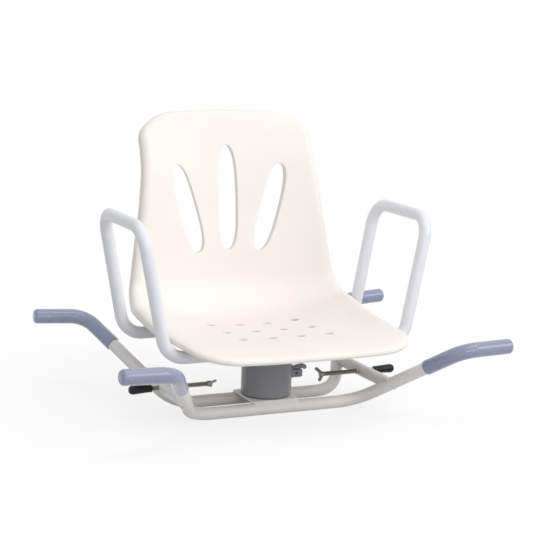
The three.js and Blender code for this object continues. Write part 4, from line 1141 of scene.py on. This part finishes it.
def on_sheet(points):
    """Which points lie inside the outline and in none of its openings."""
    found = inside(points, loops[0][0])
    for loop, over, under in loops[1:]:
        found &= ~inside(points, loop)
    return found


# Points inside the outline: rows that are set off from each other, and closer where the tubes lie below
flat = []
for i, distance in enumerate(np.arange(3.5, SEAT_LENGTH - 2, SEAT_SPACING)):
    shift = SEAT_SPACING / 2 * (i % 2)
    flat += [(x + shift, distance) for x in np.arange(-203.5, 204, SEAT_SPACING)]
for middle in CHANNEL_PLACES:
    for distance in np.arange(middle - 15, middle + 16, SEAT_SPACING / 2):
        flat += [(x, distance) for x in np.arange(-200.8, 204, SEAT_SPACING)]
flat = np.array(flat)
loop_points = np.concatenate([loop for loop, over, under in loops])
flat = flat[on_sheet(flat)]
nearest = np.min(np.linalg.norm(flat[:, None] - loop_points[None], axis=2), axis=1)
flat = flat[nearest > LOOP_CLEARANCE]
flat = np.concatenate([loop_points, flat])
edges = []
first = 0
for loop, over, under in loops:
    edges += [(first + i, first + (i + 1) % len(loop)) for i in range(len(loop))]
    first += len(loop)
cut = delaunay_2d_cdt([Vector(point) for point in flat], edges, [], 0, 1e-4)
flat = np.array([tuple(point) for point in cut[0]])
triangles = np.array(cut[2])
triangles = triangles[on_sheet(flat[triangles].mean(axis=1))]
a, b, c = (flat[triangles[:, k]] for k in range(3))
turned_round = (b - a)[:, 0] * (c - a)[:, 1] - (b - a)[:, 1] * (c - a)[:, 0] < 0
triangles[turned_round] = triangles[turned_round][:, ::-1]

x, distance = flat.T
top_points = sitting_points(x, arched(x, distance))
normals = sitting_normals(x, arched(x, distance))
draws = mould_draw(x, distance, normals)
thickness = shell_thickness(x, distance) / np.sum(draws * normals, axis=1)
bottom_points = top_points - thickness[:, None] * draws
tube_places = np.concatenate([np.array([line.at(d)[0] for d in np.arange(0, line.total, 2)])
                              for line in armrest_lines.values()])


def clear_of_tubes(points, directions):
    """Lifts what lies inside an armrest tube until it is clear, which leaves a channel."""
    for i in range(3):
        near = points[:, 2] < ARM_Z + 60
        away = np.linalg.norm(points[near][:, None] - tube_places[None], axis=2)
        middle = tube_places[np.argmin(away, axis=1)]
        offset = points[near] - middle
        along = np.sum(offset * directions[near], axis=1)
        apart = np.sum(offset ** 2, axis=1)
        root = np.sqrt(np.maximum(along ** 2 - apart + CHANNEL_RADIUS ** 2, 0))
        move = np.where(apart < CHANNEL_RADIUS ** 2, root - along, 0)
        moved = points.copy()
        moved[near] += move[:, None] * directions[near]
        points = moved
    return points


shell_points = [top_points, clear_of_tubes(bottom_points, normals)]
count = len(flat)
# Each point's share of painted shade in the drains: none on the two sheets, the rim and the slots.
painted_drain_shade = [np.zeros(2 * count)]
shell_faces = [tuple(t) for t in triangles] + [tuple(t[::-1] + count) for t in triangles]
used = 2 * count
first = 0
for loop, over, under in loops:
    size = len(loop)
    places = top_points[first:first + size]
    facing = normals[first:first + size]
    draw = draws[first:first + size]
    deep = thickness[first:first + size]
    ahead = np.roll(places, -1, axis=0) - np.roll(places, 1, axis=0)
    outward = unit(np.cross(ahead, facing))
    rings = [np.arange(first, first + size)]
    drain = over is drain_profile
    # Down a drain's rings the painted shade rises from none at its outer edge to full in its hole and below.
    wall = [(way_out, down, ease(step, 0.5, 6.5)) for step, (way_out, down) in enumerate(over[1:], 1)]
    wall += [(way_out, deep - up, 1) for way_out, up in under[:0:-1]]
    for way_out, down, shade_share in wall:
        painted_drain_shade.append(np.full(size, float(shade_share) if drain else 0.0))
        way_out, down = (np.broadcast_to(value, size)[:, None] for value in (way_out, down))
        shell_points.append(clear_of_tubes(places + way_out * outward - down * draw, facing))
        rings.append(np.arange(used, used + size))
        used += size
    rings.append(np.arange(first, first + size) + count)
    for before, after in zip(rings, rings[1:]):
        for i in range(size):
            j = (i + 1) % size
            shell_faces.append((before[i], after[i], after[j], before[j]))
    first += size
shell_faces = [tuple(int(i) for i in face) for face in shell_faces]
shell = new_object("seat_moulding", np.concatenate(shell_points), shell_faces)
shell.data.materials.append(MOULDED_PLASTIC)
# The shares of painted shade go on the mesh as a point attribute for the material.
drain_shade_layer = shell.data.attributes.new("painted_drain_shade", "FLOAT", "POINT")
drain_shade_layer.data.foreach_set("value", np.concatenate(painted_drain_shade))
settle(shell, 60)
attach(shell, "seat")
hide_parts("seat_shell")

# Adjusters: on each side a threaded rod runs through a bush in the brace. A cast wing handle turns it at the
# inner end, and at the outer end it pushes a black rubber foot against the wall of the bath.
ROD_RADIUS = 4
THREAD_PITCH = 1.25
WING_X = 107
WING_TIP = (13.5, -7)
WING_ROOT_Z = 3.2
WING_HALF_WIDTH = 3
WING_THICKNESS = 3.2
HUB_LENGTH = 5.6
MELT_SIZE = 0.42
CORE_RADIUS = 3.3
ROD_X = WING_X + 5
ROD_IN_FOOT = 24
FOOT_INNER = 214
ROD_STEEL = metal_material("plated rod steel", (0.33, 0.30, 0.26, 1), 0.36, (500, 90, 90),
                           (0.26, 0.235, 0.2, 1))
CAST_METAL = metal_material("cast wing metal", (0.36, 0.33, 0.29, 1), 0.42, (200, 200, 200),
                            (0.27, 0.245, 0.215, 1))
RUBBER = finish_material("black rubber", (0.007, 0.007, 0.009, 1), 0.3, 0.8, (0.0014, 0.12), 0.02, 0.08,
                         rub=((0.015, 0.015, 0.017, 1), 0.2), dust=((0.03, 0.03, 0.03, 1), 0.03),
                         constants={"Specular IOR Level": 0.3})


def thread_tree():
    """A rod along Z with a thread wound round its core."""
    tree, given, out = new_tree("threaded rod", "GeometryNodeTree", [
        ("Geometry", "geometry"), ("Crest Radius", "float", 0.004), ("Core Radius", "float", 0.0033),
        ("Length", "float", 0.1), ("Turns", "float", 60.0), ("Plating", "material")],
        [("Geometry", "geometry")])
    core = add_node(tree, "GeometryNodeMeshCylinder", {
        "Vertices": 24, "Radius": given["Core Radius"], "Depth": given["Length"]})
    core = raised(tree, core, sum_of(tree, "MULTIPLY", given["Length"], 0.5))
    depth = sum_of(tree, "SUBTRACT", given["Crest Radius"], given["Core Radius"])
    spiral = add_node(tree, "GeometryNodeCurveSpiral", {
        "Resolution": 20, "Rotations": given["Turns"], "Start Radius": given["Core Radius"],
        "End Radius": given["Core Radius"], "Height": given["Length"], "Reverse": True})
    level = add_node(tree, "GeometryNodeSetCurveNormal", {"Curve": spiral}, mode="Z_UP")
    ridge = add_node(tree, "GeometryNodeCurvePrimitiveCircle", {"Resolution": 4, "Radius": depth})
    thread = add_node(tree, "GeometryNodeCurveToMesh",
                      {"Curve": level, "Profile Curve": ridge, "Fill Caps": True})
    return finish_tree(tree, join(tree, core, thread), given["Plating"], out)


THREAD = thread_tree()


def place_along(made, side, turn, start):
    """Turns a piece that was made along Z out to one side, at the height of the braces."""
    along_x = Matrix.Rotation(math.pi / 2, 4, "Y")
    outward = Matrix.Rotation(0 if side > 0 else math.pi, 4, "Z")
    spin = Matrix.Rotation(turn, 4, "X")
    shift = Matrix.Translation((start * MM, 0, 0))
    made.data.transform(Matrix.Translation((0, 0, BRACE_Z * MM)) @ outward @ spin @ shift @ along_x)
    return made


def wing_handle(name, side, turn):
    """Two swept blades on a hub, melted together as in a casting."""
    hub_profile = [(0, -3.2)] + arc((3.5, -1.7), 1.5, -90, 0, 4)
    hub_profile += arc((3.8, HUB_LENGTH - 1), 1, 0, 90, 4) + [(0, HUB_LENGTH)]
    made = turned(name, hub_profile, 40, closed=False)
    sweep = Vector(WING_TIP).normalized()
    across = Vector((-sweep.y, sweep.x)) * WING_HALF_WIDTH
    root = Vector((0, WING_ROOT_Z))
    first_angle = math.degrees(math.atan2(-across.y, -across.x))
    tip = arc(Vector(WING_TIP) - WING_HALF_WIDTH * sweep, WING_HALF_WIDTH, first_angle, first_angle + 180, 12)
    blades = []
    for half in (1, -1):
        outline = [tuple(root - across)] + tip + [tuple(root + across)]
        outline = [(half * u, v) for u, v in outline][::half]
        blades.append(face_outward(prism("blade", outline, -WING_THICKNESS / 2, WING_THICKNESS / 2,
                                         lambda u, v, w: (u, w, v))))
    made.data.materials.append(CAST_METAL)
    carve(made, *blades, operation="UNION")
    melt = made.modifiers.new("melt", "REMESH")
    melt.mode = "VOXEL"
    melt.voxel_size = MELT_SIZE * MM
    ease_off = made.modifiers.new("ease", "SMOOTH")
    ease_off.iterations = 5
    settle(made, 80)
    made.data.materials.clear()
    made.data.materials.append(CAST_METAL)
    return place_along(made, side, turn, WING_X)


foot_profile = [(0, 9), (4.1, 9), (4.3, 0.8), (4.9, 0), (5.9, 0), (6.5, 0.5), (6.7, 1.6), (6.4, 2.6),
                (6.35, 4), (7.2, 20), (7.75, 29), (7.9, 32.1)]
foot_profile += [(3 + 4.9 * math.cos(a), 32.1 + 7.9 * math.sin(a)) for a in np.radians(range(10, 91, 10))]
foot_profile += [(0, 40)]
bush_profile = [(4.15, -14.3), (4.5, -14.5), (4.9, -14.5), (BUSH_RADIUS, -14.1), (BUSH_RADIUS, 10.6),
                (4.9, 10.9), (4.15, 10.9)]
wing_turns = {"left": math.radians(126), "right": math.radians(-40)}
for side_name, side in SIDES:
    bush = turned(f"{side_name}_threaded_bush", bush_profile, 40)
    bush.data.materials.append(CAST_METAL)
    settle(place_along(bush, side, 0, BRACE_X), 30)
    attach(bush, "base")
    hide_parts(f"{side_name}_bush")

    rod = new_object(f"{side_name}_threaded_rod", [(0, 0, 0)])
    length = FOOT_INNER + ROD_IN_FOOT - ROD_X
    apply_tree(rod, THREAD, {
        "Crest Radius": ROD_RADIUS * MM, "Core Radius": CORE_RADIUS * MM, "Length": length * MM,
        "Turns": length / THREAD_PITCH, "Plating": ROD_STEEL})
    settle(place_along(settle(rod, 25), side, 0, ROD_X), 25)
    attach(rod, f"{side_name}_screw")
    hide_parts(f"{side_name}_screw")

    handle = wing_handle(f"{side_name}_wing_handle", side, wing_turns[side_name])
    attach(handle, f"{side_name}_screw")
    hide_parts(f"{side_name}_wing")

    foot = turned(f"{side_name}_rubber_foot", foot_profile, 56, closed=False)
    foot.data.materials.append(RUBBER)
    settle(place_along(foot, side, 0, FOOT_INNER), 40)
    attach(foot, f"{side_name}_foot")
    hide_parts(f"{side_name}_foot")

# Studio: a white floor that keeps the soft shadow near the seat and turns plain white farther out, four soft
# lamps and a pale surround. The camera stands where the photograph was taken from.
FLOOR_Z = -0.3
FLOOR_HALF = 6000
FLOOR_SHADOW = 0.22
SHADOW_REACH = (0.35, 0.8)
SURROUND_LEFT = 0.5
SURROUND_RIGHT = 0.86
LAMP_COLOUR = (1.0, 0.99, 0.98)


def empty_tree(held):
    """The node tree of a material or a world, with nothing in it."""
    held.use_nodes = True
    held.node_tree.nodes.clear()
    return held.node_tree


def seen_rays(tree):
    """1 for what the camera sees, directly, in a gloss or through a clear piece."""
    path = add_node(tree, "ShaderNodeLightPath").outputs
    seen = sum_of(tree, "MAXIMUM", path["Is Camera Ray"], path["Is Glossy Ray"])
    return sum_of(tree, "MAXIMUM", seen, path["Is Transmission Ray"])


def end_tree(tree, kind, share, first, second):
    """Ends a shader tree with a mix of two shaders by a share."""
    mixed = add_node(tree, "ShaderNodeMixShader", {0: share, 1: first, 2: second})
    add_node(tree, kind, {"Surface": mixed})


floor_material = bpy.data.materials.new("studio floor")
tree = empty_tree(floor_material)
seen = seen_rays(tree)
shown = blend_colours(tree, seen, (0.6, 0.6, 0.6, 1), (1, 1, 1, 1))
matt = add_node(tree, "ShaderNodeBsdfDiffuse", {"Color": shown})
white = add_node(tree, "ShaderNodeEmission", {"Color": (1, 1, 1, 1), "Strength": 1.0})
place = add_node(tree, "ShaderNodeTexCoord").outputs["Object"]
reach = add_node(tree, "ShaderNodeVectorMath", {0: place}, operation="LENGTH")
fade = ranged(tree, reach.outputs["Value"], *SHADOW_REACH, 1 - FLOOR_SHADOW, 1.0)
end_tree(tree, "ShaderNodeOutputMaterial", sum_of(tree, "MULTIPLY", fade, seen), matt, white)
corners = ((-1, -1), (1, -1), (1, 1), (-1, 1))
floor = new_object("studio_floor", [(x * FLOOR_HALF, y * FLOOR_HALF, FLOOR_Z) for x, y in corners],
                   [(0, 1, 2, 3)])
floor.data.materials.append(floor_material)

world = bpy.data.worlds.new("pale surround")
bpy.context.scene.world = world
tree = empty_tree(world)
direction = add_node(tree, "ShaderNodeTexCoord").outputs["Generated"]
sideways_share = add_node(tree, "ShaderNodeSeparateXYZ", {0: direction}).outputs["X"]
surround = ranged(tree, sideways_share, -1.0, 1.0, SURROUND_LEFT, SURROUND_RIGHT)
soft = add_node(tree, "ShaderNodeBackground", {"Color": (0.98, 0.985, 1.0, 1), "Strength": surround})
plain = add_node(tree, "ShaderNodeBackground", {"Color": (1, 1, 1, 1), "Strength": 1.0})
end_tree(tree, "ShaderNodeOutputWorld", seen_rays(tree), soft, plain)


def soft_lamp(name, place, target, size, power):
    """A rectangular lamp turned towards a place. Places and sizes are in metres, and its power in watts."""
    lamp = bpy.data.lights.new(name, "AREA")
    lamp.shape = "RECTANGLE"
    lamp.size, lamp.size_y = size
    lamp.energy = power
    lamp.color = LAMP_COLOUR
    made = bpy.data.objects.new(name, lamp)
    made.location = place
    made.rotation_mode = "QUATERNION"
    made.rotation_quaternion = (Vector(target) - Vector(place)).to_track_quat("-Z", "Y")
    bpy.context.scene.collection.objects.link(made)


soft_lamp("top_lamp", (0.8, 0.4, 2.5), (0, 0, 0.1), (1.6, 1.4), 3)
soft_lamp("strip_lamp", (0.2, -0.8, 2.4), (0, -0.1, 0.15), (1.5, 0.13), 8)
soft_lamp("key_lamp", (1.6, -2.0, 1.7), (0, 0, 0.2), (1.7, 1.3), 20)
soft_lamp("fill_lamp", (-0.2, -2.5, 0.9), (0, 0, 0.3), (1.4, 1.0), 9)

CAMERA_PLACE = Vector((-1.118, -2.335, 0.723))
CAMERA_PAN = math.radians(25.70)
CAMERA_TILT = math.radians(10.57)
CAMERA_ROLL = math.radians(2.04)
FOCAL_PIXELS = 1529
FRAME_PIXELS = 546
SENSOR_WIDTH = 36
ahead = Vector((math.sin(CAMERA_PAN) * math.cos(CAMERA_TILT), math.cos(CAMERA_PAN) * math.cos(CAMERA_TILT),
                -math.sin(CAMERA_TILT)))
level = Vector((math.cos(CAMERA_PAN), -math.sin(CAMERA_PAN), 0))
upward = level.cross(ahead)
right = math.cos(CAMERA_ROLL) * level + math.sin(CAMERA_ROLL) * upward
upward = math.cos(CAMERA_ROLL) * upward - math.sin(CAMERA_ROLL) * level
camera_data = bpy.data.cameras.new("camera")
camera_data.sensor_width = SENSOR_WIDTH
camera_data.lens = SENSOR_WIDTH * FOCAL_PIXELS / FRAME_PIXELS
camera = bpy.data.objects.new("camera", camera_data)
turn = Matrix((right, upward, -ahead)).transposed().to_4x4()
camera.matrix_world = Matrix.Translation(CAMERA_PLACE) @ turn
bpy.context.scene.collection.objects.link(camera)
bpy.context.scene.camera = camera
bpy.context.scene.view_settings.view_transform = "Standard"
